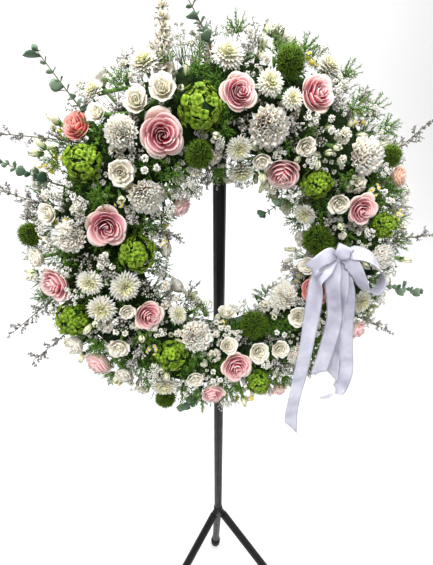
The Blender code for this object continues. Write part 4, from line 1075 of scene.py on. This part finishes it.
def add_breath_tuft(shape, centre, facing, size, rng):
    """Many small white balls on hair-thin forked stems."""
    ways = loose_dome(9, 0.0, 0.2, rng)
    place = (centre, facing, size, rng.uniform(0.0, math.tau))
    start = place_local(np.array(((0.0, 0.0, -1.6),)), *place)[0]
    tips = place_local(ways * rng.uniform(0.55, 1.15, (9, 1)), *place)
    for tip in tips:
        add_tube(shape, (start, tip), (0.0005, 0.0004), "stem", sides=3)
        add_pompon(shape, tip, facing, rng.uniform(0.0030, 0.0044), rng, 10)


def add_limonium(shape, centre, facing, size, rng):
    """A soft cloud of tiny pale flowers."""
    ways = loose_dome(7, 0.1, 0.2, rng)
    place = (centre, facing, size, rng.uniform(0.0, math.tau))
    start = np.array((0.0, 0.0, -0.9))
    for way in ways:
        points = place_local(np.array((start, way * 1.1)), *place)
        reach = points[1] - points[0]
        add_plume(shape, points[0], unit(reach), np.linalg.norm(reach), rng, count=13, material="limonium")


def small_heads(ways, reach, share, centre, facing, size, rng):
    """The place of each small head of a tuft, reach out from its centre."""
    for way, spot in zip(ways, place_local(ways * reach, centre, facing, size, 0.0)):
        turn = facing.to_track_quat("Z", "Y") @ Vector(way)
        yield Vector(spot), turn, size * share, rng.uniform(0.0, math.tau)


def add_stock(shape, centre, facing, size, rng):
    """A few small double white flowers side by side."""
    ways = loose_dome(5, 0.1, 0.12, rng)
    for place in small_heads(ways, 0.62, 0.46, centre, facing, size, rng):
        add_small_double(shape, place, 0.05, rng)


def add_daisy(shape, centre, facing, size, rng):
    """Small flowers with a raised yellow middle and short white rays."""
    ways = loose_dome(5, 0.2, 0.15, rng)
    for place in small_heads(ways, 0.75, 0.42, centre, facing, size, rng):
        out = circle(np.arange(10) * 2 * math.pi / 10)
        up = np.tile(np.array((0.0, 0.0, 1.0)), (10, 1))
        grids = blades(out * 0.2, out, up, 0.75, 0.34, rows=4, columns=3, blunt=1.4)
        add_petals(shape, grids, PETAL_THIN, 1.0, rng, "breath", place)
        middle = place_local(np.array(((0.0, 0.0, 0.10),)), *place)
        add_balls(shape, middle, size * 0.19, rng, "stamen", 0.5)


def add_bud_pair(shape, centre, facing, size, rng):
    side = unit(np.cross(np.array(facing), rng.normal(0.0, 1.0, 3)))
    for share in (0.45, -0.55):
        tilt = Vector(unit(np.array(facing) + side * share))
        spot = centre + Vector(side) * size * share
        add_bud(shape, (spot, tilt, BUD_DIAMETER / 2, rng.uniform(0.0, math.tau)), rng)


def add_fern_tuft(shape, centre, facing, size, rng):
    add_fern(shape, (centre, facing, size * 1.4, rng.uniform(0.0, math.tau)), rng)


# What fills the gaps: its maker and its share of the tufts
FILL_KINDS = (
    (add_fern_tuft, 0.30), (add_breath_tuft, 0.28), (add_limonium, 0.16),
    (add_stock, 0.12), (add_bud_pair, 0.08), (add_daisy, 0.06),
)


def fill_places(claimed, rng):
    """Places for tufts wherever the heads leave room, the widest first."""
    centres = list(claimed.places)
    radii = list(claimed.radii)
    found = []
    for size, tries in FILL_SIZES:
        known = np.array(centres)
        widths = np.array(radii)
        fresh = []
        for _ in range(tries):
            clock = rng.uniform(0.0, 360.0)
            angle = math.radians(rng.uniform(-16.0, 200.0))
            depth = rng.uniform(0.70, 1.0)
            out = (DOME_OUT * depth - size) * math.cos(angle)
            place = np.array(ring_point(clock, out, (DOME_FRONT * depth - size) * math.sin(angle)))
            room = (np.linalg.norm(known - place, axis=1) - widths).min()
            if fresh:
                room = min(room, (np.linalg.norm(np.array(fresh) - place, axis=1) - size).min())
            if room < size * FILL_ROOM:
                continue
            fresh.append(place)
            facing = place - np.array(ring_point(clock, 0.35 * out, -0.01))
            found.append((sector_of(clock), Vector(place), Vector(unit(facing)), size))
        centres += [tuple(place) for place in fresh]
        radii += [size] * len(fresh)
    claimed.places = centres
    claimed.radii = radii
    return found


def bed_place(clock, angle, lift=0.0):
    front = max((BED_FRONT + lift) * math.sin(angle), BED_SIDE)
    return ring_point(clock, (BED_OUT + lift) * math.cos(angle), front)


def add_mat(shape, sector, rng):
    """The close mat of moss and stubs that the leaves rise from, as one closed strip, painted near-black:
    partly its own dark green, partly painted shade deep between the stems.
    """
    first = SECTOR_START + sector * SECTOR_ANGLE
    clocks = np.linspace(first + MAT_MARGIN, first + SECTOR_ANGLE - MAT_MARGIN, MAT_STEPS)
    angles = np.radians(np.linspace(-22.0, 202.0, MAT_STEPS))
    rows = []
    for clock in clocks:
        row = [bed_place(clock, angle) for angle in angles]
        side = TRAY_HALF + TRAY_GAP
        front = FOAM_FRONT + TRAY_GAP
        row += [ring_point(clock, out, height)
                for out, height in ((-side, BED_SIDE), (-side, front), (side, front), (side, BED_SIDE))]
        rows.append([tuple(place) for place in row])
    verts = np.array(rows)
    top = verts[1:-1, 1:MAT_STEPS - 1]
    top += rng.normal(0.0, MAT_ROUGH, top.shape)
    shape.add_loft(verts, "moss_and_shade")


def add_leaves(shape, sector, claimed, rng):
    """Leaves that rise between the heads, cut short or left out where their way is taken."""
    first = SECTOR_START + sector * SECTOR_ANGLE
    centres = np.array(claimed.places)
    radii = np.array(claimed.radii)
    chances = np.array([kind[1] for kind in LEAF_KINDS])
    kept = {kind[0]: [] for kind in LEAF_KINDS}
    for _ in range(LEAF_COUNT):
        clock = first + SECTOR_ANGLE * rng.random()
        angle = math.radians(rng.uniform(-20.0, 200.0))
        base = np.array(bed_place(clock, angle, -0.004))
        up = np.array(bed_place(clock, angle, 0.05)) - base
        up = unit(up + 0.3 * np.array(RING_FACE) * np.linalg.norm(up))
        way = unit(up + rng.normal(0.0, 0.42, 3))
        kind, _, slim = LEAF_KINDS[rng.choice(len(LEAF_KINDS), p=chances)]
        length = rng.uniform(0.028, 0.052)
        for shorter in (1.0, 0.8, 0.62, 0.45):
            reach = length * shorter
            samples = base + way * reach * np.array((0.35, 0.55, 0.75, 1.0))[:, None]
            gaps = np.linalg.norm(samples[:, None, :] - centres[None], axis=2) - radii[None]
            if gaps.min() > 0.0004:
                kept[kind].append((base, way, reach, reach * slim))
                break
    for kind, rows in kept.items():
        if not rows:
            continue
        base, way, reach, width = (np.array(column) for column in zip(*rows))
        normal = unit(np.cross(way, rng.normal(0.0, 1.0, way.shape)))
        grids = blades(base, way, normal, reach, width, rows=7, columns=3, cup=0.22, droop=0.16,
                       blunt=1.0 if kind != "leaf" else 1.25)
        add_petals(shape, grids, PETAL_THICK, rng.random(len(base)), rng, kind)


# Ribbon
def hermite(before, start, end, after, t):
    slope_start = (end - before) / 2
    slope_end = (after - start) / 2
    a = 2 * t ** 3 - 3 * t ** 2 + 1
    b = t ** 3 - 2 * t ** 2 + t
    c = -2 * t ** 3 + 3 * t ** 2
    d = t ** 3 - t ** 2
    return start * a + slope_start * b + end * c + slope_end * d


def pinch(distances):
    """The share of the ribbon's width at distances from the knot."""
    return np.clip(PINCH + distances / PINCH_LENGTH, PINCH, 1.0)


def ribbon_line(stations):
    """A smooth run of places through a run's stations, and the way that its width points at each."""
    knots = [plane_point(*place) for place, _ in stations]
    steps = 10
    smooth = []
    ways = []
    for k in range(len(knots) - 1):
        before = knots[max(k - 1, 0)]
        after = knots[min(k + 2, len(knots) - 1)]
        smooth += [hermite(before, knots[k], knots[k + 1], after, s / steps) for s in range(steps)]
        here, there = (np.array(stations[j][1]) for j in (k, k + 1))
        ways += [here + (there - here) * s / steps for s in range(steps)]
    smooth.append(knots[-1])
    ways.append(np.array(stations[-1][1]))
    wide = unit(np.array(ways) @ np.array((tuple(RADIAL_X), tuple(RING_UP), tuple(RING_FACE))))
    return np.array([tuple(place) for place in smooth]), wide


def ribbon_piece(name, cut, stations, rng):
    """A length of satin through the solid's places, pinched at the knot, with soft waves across it."""
    line, wide = ribbon_line(stations)
    along = unit(np.gradient(line, axis=0))
    across = unit(wide - along * (along * wide).sum(axis=1)[:, None])
    normal = unit(np.cross(along, across))
    parts = np.linalg.norm(np.diff(line, axis=0), axis=1)
    travelled = np.concatenate(([0.0], np.cumsum(parts)))
    narrow = pinch(travelled)
    if not name.startswith("tail"):
        narrow = np.minimum(narrow, pinch(travelled[-1] - travelled))
    u = np.linspace(-1.0, 1.0, 9)[None]
    phase = rng.random() * 6.0
    lift = WAVE_HEIGHT * np.sin(travelled / WAVE_LENGTH + phase)[:, None] * u + CROWN * (u ** 2 - 0.4)
    lift = lift + GATHER * (1.0 - narrow)[:, None] * np.cos(3 * math.pi * u)
    reach = (RIBBON_WIDTH / 2 * narrow)[:, None] * u
    slant = cut / 2 * np.clip((travelled - travelled[-1]) / CUT_LENGTH + 1.0, 0.0, 1.0)[:, None] * u
    grid = line[:, None, :] + across[:, None, :] * reach[..., None]
    grid = grid + normal[:, None, :] * lift[..., None] + along[:, None, :] * slant[..., None]
    tones = np.zeros((*grid.shape[:2], 3))
    tones[..., 0] = (travelled / travelled[-1])[:, None]
    tones[..., 1] = (u + 1.0) / 2
    tones[..., 2] = rng.random()
    shape = Shape(["satin"])
    add_lenses(shape, grid[None], RIBBON_THICK, tones[None], "satin")
    cloth = float((parts * (narrow[1:] + narrow[:-1]) / 2).sum() * RIBBON_WIDTH)
    return shape.piece("ribbon_" + name), travelled[-1], cloth


# Materials
class Paint:
    """A material's nodes, written out one after another."""

    def __init__(self, name, roughness, specular):
        self.material = bpy.data.materials.new(name)
        self.material.use_nodes = True
        self.tree = self.material.node_tree
        self.shader = self.tree.nodes["Principled BSDF"]
        self.shader.inputs["Roughness"].default_value = roughness
        self.shader.inputs["Specular IOR Level"].default_value = specular

    def node(self, kind, **values):
        node = self.tree.nodes.new(kind)
        for key, value in values.items():
            setattr(node, key, value)
        return node

    def link(self, out, into):
        self.tree.links.new(out, into)

    def feed(self, value, spot):
        """Give a socket a number, a colour or what another node puts out."""
        if isinstance(value, (int, float)):
            spot.default_value = value
        elif isinstance(value, tuple):
            spot.default_value = (*value, 1.0)
        else:
            self.link(value, spot)

    def tones(self):
        """The along, drawn and layer numbers of the tone attribute."""
        attribute = self.node("ShaderNodeAttribute", attribute_name="tone")
        split = self.node("ShaderNodeSeparateColor")
        self.link(attribute.outputs["Color"], split.inputs[0])
        return split.outputs

    def ramp(self, source, stops):
        """A colour for each share of a number, from (share, colour) stops."""
        ramp = self.node("ShaderNodeValToRGB")
        elements = ramp.color_ramp.elements
        while len(elements) < len(stops):
            elements.new(0.5)
        for element, (share, colour) in zip(elements, stops):
            element.position = share
            element.color = (*colour, 1.0)
        self.link(source, ramp.inputs["Fac"])
        return ramp.outputs["Color"]

    def mix(self, factor, first, second, mode="MIX"):
        mix = self.node("ShaderNodeMix", data_type="RGBA", blend_type=mode)
        for value, spot in ((factor, 0), (first, 6), (second, 7)):
            self.feed(value, mix.inputs[spot])
        return mix.outputs[2]

    def scaled(self, value, factor):
        node = self.node("ShaderNodeMath", operation="MULTIPLY")
        self.feed(value, node.inputs[0])
        self.feed(factor, node.inputs[1])
        return node.outputs[0]

    def noise(self, scale, detail):
        noise = self.node("ShaderNodeTexNoise")
        noise.inputs["Scale"].default_value = scale
        noise.inputs["Detail"].default_value = detail
        self.link(self.node("ShaderNodeTexCoord").outputs["Object"], noise.inputs["Vector"])
        return noise.outputs["Fac"]

    def bump(self, height, strength, distance):
        bump = self.node("ShaderNodeBump")
        bump.inputs["Strength"].default_value = strength
        bump.inputs["Distance"].default_value = distance
        self.link(height, bump.inputs["Height"])
        self.link(bump.outputs["Normal"], self.shader.inputs["Normal"])

    def colour(self, value):
        self.feed(value, self.shader.inputs["Base Color"])


WHITE = (1.0, 1.0, 1.0)
BLACK = (0.0, 0.0, 0.0)


def petal_paint(name, inner, outer, base, tip, vary=0.12, soft=0.0, last=None):
    """Petals that change from the head's middle outwards and from their base to their tip, with painted shade
    mixed into their feet and painted highlight into their rims.
    """
    paint = Paint(name, 0.55, 0.3)
    along, drawn, layer = paint.tones()[:3]
    spread = paint.ramp(layer, ((0.12, inner), (0.86, outer), (1.0, last or outer)))
    # Each petal's foot is drawn towards the base colour: partly the flower's own throat, partly painted shade
    # deep in the head.
    foot = paint.ramp(along, ((0.0, WHITE), (0.55, BLACK)))
    throat_and_foot_shade = paint.mix(foot, spread, base)
    # Each petal's rim is drawn towards the tip colour: partly the petals' own paler edges, partly painted
    # highlight.
    rim = paint.ramp(along, ((0.70, BLACK), (0.97, WHITE)))
    pale_rim_and_highlight = paint.mix(paint.scaled(rim, 0.85), throat_and_foot_shade, tip)
    cloud = paint.ramp(paint.noise(90.0, 3.0), ((0.3, (1.0 - vary,) * 3), (0.7, WHITE)))
    each = paint.ramp(drawn, ((0.0, (1.0 - vary,) * 3), (1.0, WHITE)))
    paint.colour(paint.mix(1.0, paint.mix(1.0, pale_rim_and_highlight, cloud, "MULTIPLY"), each, "MULTIPLY"))
    paint.bump(paint.noise(700.0, 3.0), 0.25, 0.0004)
    if soft:
        paint.shader.inputs["Subsurface Weight"].default_value = soft
        paint.shader.inputs["Subsurface Radius"].default_value = (0.008, 0.006, 0.005)
    return paint.material


def leaf_paint(name, dark, light, roughness, specular=0.4, scale=60.0, foot_shade=0.55):
    """Leaves that differ from one to the next, with a lighter tip, a foot darkened as painted shade where it
    goes into the planting, and a mottled face.
    """
    paint = Paint(name, roughness, specular)
    along, drawn = paint.tones()[:2]
    each = paint.ramp(drawn, ((0.0, dark), (1.0, light)))
    # Painted shade: each leaf, needle or hair is darkened towards its foot, deep in the planting.
    tip = paint.ramp(along, ((0.0, (foot_shade,) * 3), (1.0, (1.15, 1.15, 1.05))))
    cloud = paint.ramp(paint.noise(scale, 4.0), ((0.3, (0.72, 0.75, 0.72)), (0.7, WHITE)))
    paint.colour(paint.mix(1.0, paint.mix(1.0, each, tip, "MULTIPLY"), cloud, "MULTIPLY"))
    paint.bump(paint.noise(420.0, 4.0), 0.3, 0.0006)
    return paint.material


def stand_paint():
    """Black paint with a few pale flecks, rougher in patches."""
    paint = Paint("stand_paint", 0.42, 0.22)
    flecks = (
        (0.0, (0.004, 0.004, 0.004)), (0.74, (0.008, 0.007, 0.007)), (0.77, (0.22, 0.21, 0.20)),
        (1.0, (0.40, 0.39, 0.38)),
    )
    paint.colour(paint.ramp(paint.noise(240.0, 4.0), flecks))
    rough = paint.ramp(paint.noise(60.0, 4.0), ((0.3, (0.34,) * 3), (0.75, (0.55,) * 3)))
    paint.link(rough, paint.shader.inputs["Roughness"])
    paint.bump(paint.noise(500.0, 3.0), 0.10, 0.0004)
    return paint.material


def plain_paint(name, dark, light, roughness, scale, strength, specular=0.4):
    paint = Paint(name, roughness, specular)
    fine = paint.noise(scale, 5.0)
    paint.colour(paint.ramp(fine, ((0.3, dark), (0.7, light))))
    paint.bump(fine, strength, 0.001)
    return paint.material


def satin_paint():
    """Cool lilac-white satin with a fine weave, its colour held grey-lilac and darker in soft patches as
    painted shade.
    """
    paint = Paint("satin", 0.30, 0.6)
    weave = paint.node("ShaderNodeTexWave", wave_type="BANDS", bands_direction="DIAGONAL")
    weave.inputs["Scale"].default_value = 900.0
    weave.inputs["Distortion"].default_value = 0.4
    paint.link(paint.node("ShaderNodeTexCoord").outputs["Object"], weave.inputs["Vector"])
    cloud = paint.noise(34.0, 2.0)
    # Painted shade: the satin's colour is held well below white, darker in soft patches.
    paint.colour(paint.ramp(cloud, ((0.30, (0.38, 0.38, 0.48)), (0.66, (0.62, 0.62, 0.72)))))
    paint.bump(weave.outputs["Fac"], 0.12, 0.0002)
    paint.shader.inputs["Sheen Weight"].default_value = 0.35
    paint.shader.inputs["Sheen Roughness"].default_value = 0.3
    paint.shader.inputs["Anisotropic"].default_value = 0.45
    return paint.material


# Each petal paint: its name, the colours of the innermost and outer petals, of their feet and tips, and
# what else is its own. The feet's colours are partly the flowers' own and partly painted shade deep in
# the head, darkest on the hydrangea; the tips' are partly paler edges and partly painted highlight; the
# hydrangea's inner colour is painted shade on the underside of its dome
PETAL_PAINTS = (
    ("rose", (0.76, 0.045, 0.16), (0.97, 0.53, 0.60), (0.86, 0.20, 0.32), (1.0, 0.84, 0.77),
     {"vary": 0.08, "soft": 0.30, "last": (0.96, 0.74, 0.64)}),
    ("coral", (0.74, 0.06, 0.07), (0.88, 0.25, 0.23), (0.70, 0.12, 0.10), (0.94, 0.52, 0.44), {"soft": 0.12}),
    ("peach", (0.82, 0.34, 0.20), (0.90, 0.56, 0.40), (0.78, 0.42, 0.22), (0.94, 0.72, 0.58), {"soft": 0.12}),
    ("carnation", (0.96, 0.86, 0.66), (0.97, 0.91, 0.80), (0.93, 0.82, 0.60), (0.99, 0.95, 0.86),
     {"vary": 0.06, "soft": 0.55}),
    ("mum", (0.86, 0.83, 0.42), (0.94, 0.92, 0.83), (0.84, 0.82, 0.60), (0.98, 0.96, 0.90),
     {"vary": 0.08, "soft": 0.35}),
    ("lisianthus", (0.84, 0.80, 0.56), (0.94, 0.88, 0.77), (0.68, 0.68, 0.42), (0.97, 0.93, 0.85),
     {"vary": 0.08, "soft": 0.35}),
    ("hydrangea", (0.13, 0.30, 0.010), (0.34, 0.56, 0.02), (0.06, 0.16, 0.004), (0.58, 0.78, 0.10),
     {"vary": 0.45}),
    ("bud", (0.62, 0.70, 0.26), (0.84, 0.85, 0.52), (0.40, 0.54, 0.12), (0.92, 0.91, 0.74), {}),
    ("breath", (0.92, 0.89, 0.78), (0.96, 0.94, 0.87), (0.78, 0.78, 0.58), (0.98, 0.97, 0.92),
     {"vary": 0.08}),
    ("lavender", (0.30, 0.28, 0.27), (0.54, 0.51, 0.50), (0.14, 0.14, 0.10), (0.70, 0.67, 0.65),
     {"vary": 0.35}),
    ("limonium", (0.50, 0.48, 0.42), (0.76, 0.73, 0.69), (0.26, 0.27, 0.18), (0.90, 0.88, 0.85),
     {"vary": 0.3}),
)
# Each leaf paint: its name, darkest and lightest colour, roughness, specular level, the scale of its
# mottling and how light its painted shade leaves a leaf's foot
LEAF_PAINTS = (
    ("greenball", (0.045, 0.12, 0.005), (0.24, 0.40, 0.030), 0.7, 0.2, 200.0, 0.10),
    ("fern", (0.028, 0.13, 0.014), (0.24, 0.46, 0.045), 0.6, 0.3, 150.0),
    ("leaf", (0.025, 0.11, 0.012), (0.10, 0.25, 0.025), 0.45),
    ("darkleaf", (0.008, 0.040, 0.010), (0.028, 0.10, 0.02), 0.45),
    ("palm", (0.05, 0.16, 0.02), (0.18, 0.33, 0.06), 0.5),
    ("eucalyptus", (0.05, 0.12, 0.07), (0.24, 0.34, 0.24), 0.6, 0.25),
)
# Each plain paint: its name, dark and light colour, roughness, the scale and strength of its grain,
# and its specular level
PLAIN_PAINTS = (
    # The mat's near-black green is partly its own colour and partly painted shade deep in the planting.
    ("moss_and_shade", (0.006, 0.014, 0.005), (0.028, 0.055, 0.014), 0.9, 160.0, 0.8, 0.1),
    ("stem", (0.07, 0.16, 0.03), (0.14, 0.26, 0.06), 0.6, 90.0, 0.2),
    ("twig", (0.07, 0.06, 0.03), (0.16, 0.15, 0.07), 0.7, 200.0, 0.3),
    ("stamen", (0.70, 0.52, 0.03), (0.86, 0.72, 0.12), 0.7, 500.0, 0.4),
    ("foot_rubber", (0.010, 0.010, 0.010), (0.026, 0.026, 0.026), 0.8, 300.0, 0.25, 0.25),
    ("tray_plastic", (0.012, 0.045, 0.016), (0.024, 0.075, 0.028), 0.45, 120.0, 0.08),
    ("foam", (0.03, 0.12, 0.04), (0.07, 0.22, 0.08), 0.95, 900.0, 0.6, 0.1),
)
MATERIALS = {name: petal_paint(name, *colours, **words) for name, *colours, words in PETAL_PAINTS}
MATERIALS.update({values[0]: leaf_paint(*values) for values in LEAF_PAINTS})
MATERIALS.update({values[0]: plain_paint(*values) for values in PLAIN_PAINTS})
MATERIALS.update({"satin": satin_paint(), "stand_paint": stand_paint()})
BLOOM_MATERIALS = ["rose", "coral", "peach", "carnation", "mum", "lisianthus", "stamen", "stem"]
GREENERY_MATERIALS = [
    "moss_and_shade", "leaf", "darkleaf", "palm", "fern", "hydrangea", "greenball", "lisianthus", "mum", "carnation",
    "stamen", "stem", "bud", "breath", "lavender", "limonium", "eucalyptus", "twig",
]
STAND_NODES = {
    "stand_paint": ("pole", "hub", "leg_left", "leg_right", "leg_back"),
    "foot_rubber": ("foot_left", "foot_right", "foot_back"),
    "tray_plastic": ("ring_tray",),
    "foam": ("foam_ring",),
}


def slot_of(node):
    for start in ("rose", "carnation", "chrysanthemum", "lisianthus"):
        if node.startswith(start):
            return start
    return "greenery"


def used_only(shape):
    """Drop the materials that no face of the shape has."""
    slots = np.concatenate(shape.slots)
    used = sorted(set(slots.tolist()))
    change = {old: new for new, old in enumerate(used)}
    shape.slots = [np.vectorize(change.get)(slots)]
    shape.materials = [shape.materials[k] for k in used]


def finish_piece(shape, name, node):
    used_only(shape)
    thing = shape.piece(name)
    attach(thing, "root")
    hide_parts(node)
    slot_of(node)


def build_blooms(plan):
    nodes = {}
    for head in plan.heads:
        nodes.setdefault(head[0], []).append(head)
    shapes = {}
    for k, (node, heads) in enumerate(nodes.items()):
        rng = np.random.default_rng(SEED + k)
        shape = Shape(GREENERY_MATERIALS if node.startswith("greenery") else BLOOM_MATERIALS)
        for head in heads:
            add_head(shape, *head, rng)
        shapes[node] = shape
    return shapes


def build_greenery(plan, shapes):
    tufts = fill_places(plan.claimed, np.random.default_rng(SEED * 3))
    chances = np.array([chance for maker, chance in FILL_KINDS])
    for sector in range(SECTORS):
        node = greenery_node(sector)
        rng = np.random.default_rng(SEED * 7 + sector)
        shape = shapes.setdefault(node, Shape(GREENERY_MATERIALS))
        add_mat(shape, sector, rng)
        add_leaves(shape, sector, plan.claimed, rng)
        for owner, centre, facing, size in tufts:
            if owner == sector:
                FILL_KINDS[rng.choice(len(FILL_KINDS), p=chances)][0](shape, centre, facing, size, rng)
        for owner, root, fork, tips in plan.breath:
            if owner == node:
                add_tube(shape, (root, fork), (0.0012, 0.0009), "stem", sides=4)
                for tip in tips:
                    add_tube(shape, (fork, tip), (0.0008, 0.0005), "stem", sides=4)
                    add_pompon(shape, tip, (tip - root).normalized(), 0.0052, rng)
        for owner, kind, root, lift, end, bits in plan.sprays:
            if owner == node:
                SPRAY_MAKERS[kind](shape, root, lift, end, bits, rng)


def build_ribbon(plan):
    rng = np.random.default_rng(SEED)
    shape = Shape(["satin", "stem"])
    knot = plane_point(*KNOT)
    add_balls(shape, [tuple(knot)], 0.010, rng, "satin", 0.5, (0.90, 0.72, 1.05))
    add_tube(shape, (knot, plan.knot_item.centre(), plan.knot_root), 0.0011, "stem")
    wrap = shape.piece("ribbon_knot")
    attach(wrap, "root")
    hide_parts("ribbon")
    for name, cut, stations in RIBBON_RUNS:
        thing, length, cloth = ribbon_piece(name, cut, stations, rng)
        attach(thing, "root")


def build_stand():
    for material, nodes in STAND_NODES.items():
        for node in nodes:
            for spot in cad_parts[node].material_slots:
                spot.material = MATERIALS[material]


def build_stage():
    """A pale floor that curves up into a wall, with soft light from above and in front."""
    profile = [(-STAGE_HALF, 0.0), (STAGE_BACK - STAGE_BEND, 0.0)]
    for k in range(1, 17):
        angle = k * math.pi / 32
        back = STAGE_BACK - STAGE_BEND * (1.0 - math.sin(angle))
        profile.append((back, STAGE_BEND * (1.0 - math.cos(angle))))
    profile.append((STAGE_BACK, STAGE_HALF / 2))
    verts = [(side * STAGE_HALF, y, z) for y, z in profile for side in (-1.0, 1.0)]
    faces = [(2 * k, 2 * k + 1, 2 * k + 3, 2 * k + 2) for k in range(len(profile) - 1)]
    mesh = bpy.data.meshes.new("floor")
    mesh.from_pydata(verts, [], faces)
    mesh.shade_smooth()
    floor = bpy.data.objects.new("floor", mesh)
    paint = Paint("floor_paint", 0.8, 0.2)
    paint.colour((0.90, 0.90, 0.90))
    mesh.materials.append(paint.material)
    bpy.context.scene.collection.objects.link(floor)
    world = bpy.data.worlds.new("studio")
    world.use_nodes = True
    sky = world.node_tree.nodes["Background"].inputs
    sky["Color"].default_value = (1.0, 1.0, 1.0, 1.0)
    sky["Strength"].default_value = WORLD_STRENGTH
    bpy.context.scene.world = world
    for name, place, aim, power, width in LIGHTS:
        light = bpy.data.lights.new(name, "AREA")
        light.energy = power
        light.size = width
        thing = bpy.data.objects.new(name, light)
        thing.location = place
        thing.rotation_euler = (Vector(aim) - Vector(place)).to_track_quat("-Z", "Y").to_euler()
        bpy.context.scene.collection.objects.link(thing)
    bpy.context.scene.view_settings.view_transform = "Standard"


def build_camera():
    data = bpy.data.cameras.new("camera")
    data.lens = CAMERA_LENS
    data.sensor_width = CAMERA_SENSOR
    data.sensor_fit = "AUTO"
    data.clip_start = 0.01
    camera = bpy.data.objects.new("camera", data)
    camera.location = CAMERA_PLACE
    camera.rotation_euler = (math.radians(90.0 - CAMERA_DOWN), 0.0, math.radians(-CAMERA_YAW))
    bpy.context.scene.collection.objects.link(camera)
    bpy.context.scene.camera = camera


build_camera()
build_stage()
build_stand()
plan = Plan()
shapes = build_blooms(plan)
build_greenery(plan, shapes)
for node, shape in shapes.items():
    finish_piece(shape, node + "_fine", node)
build_ribbon(plan)
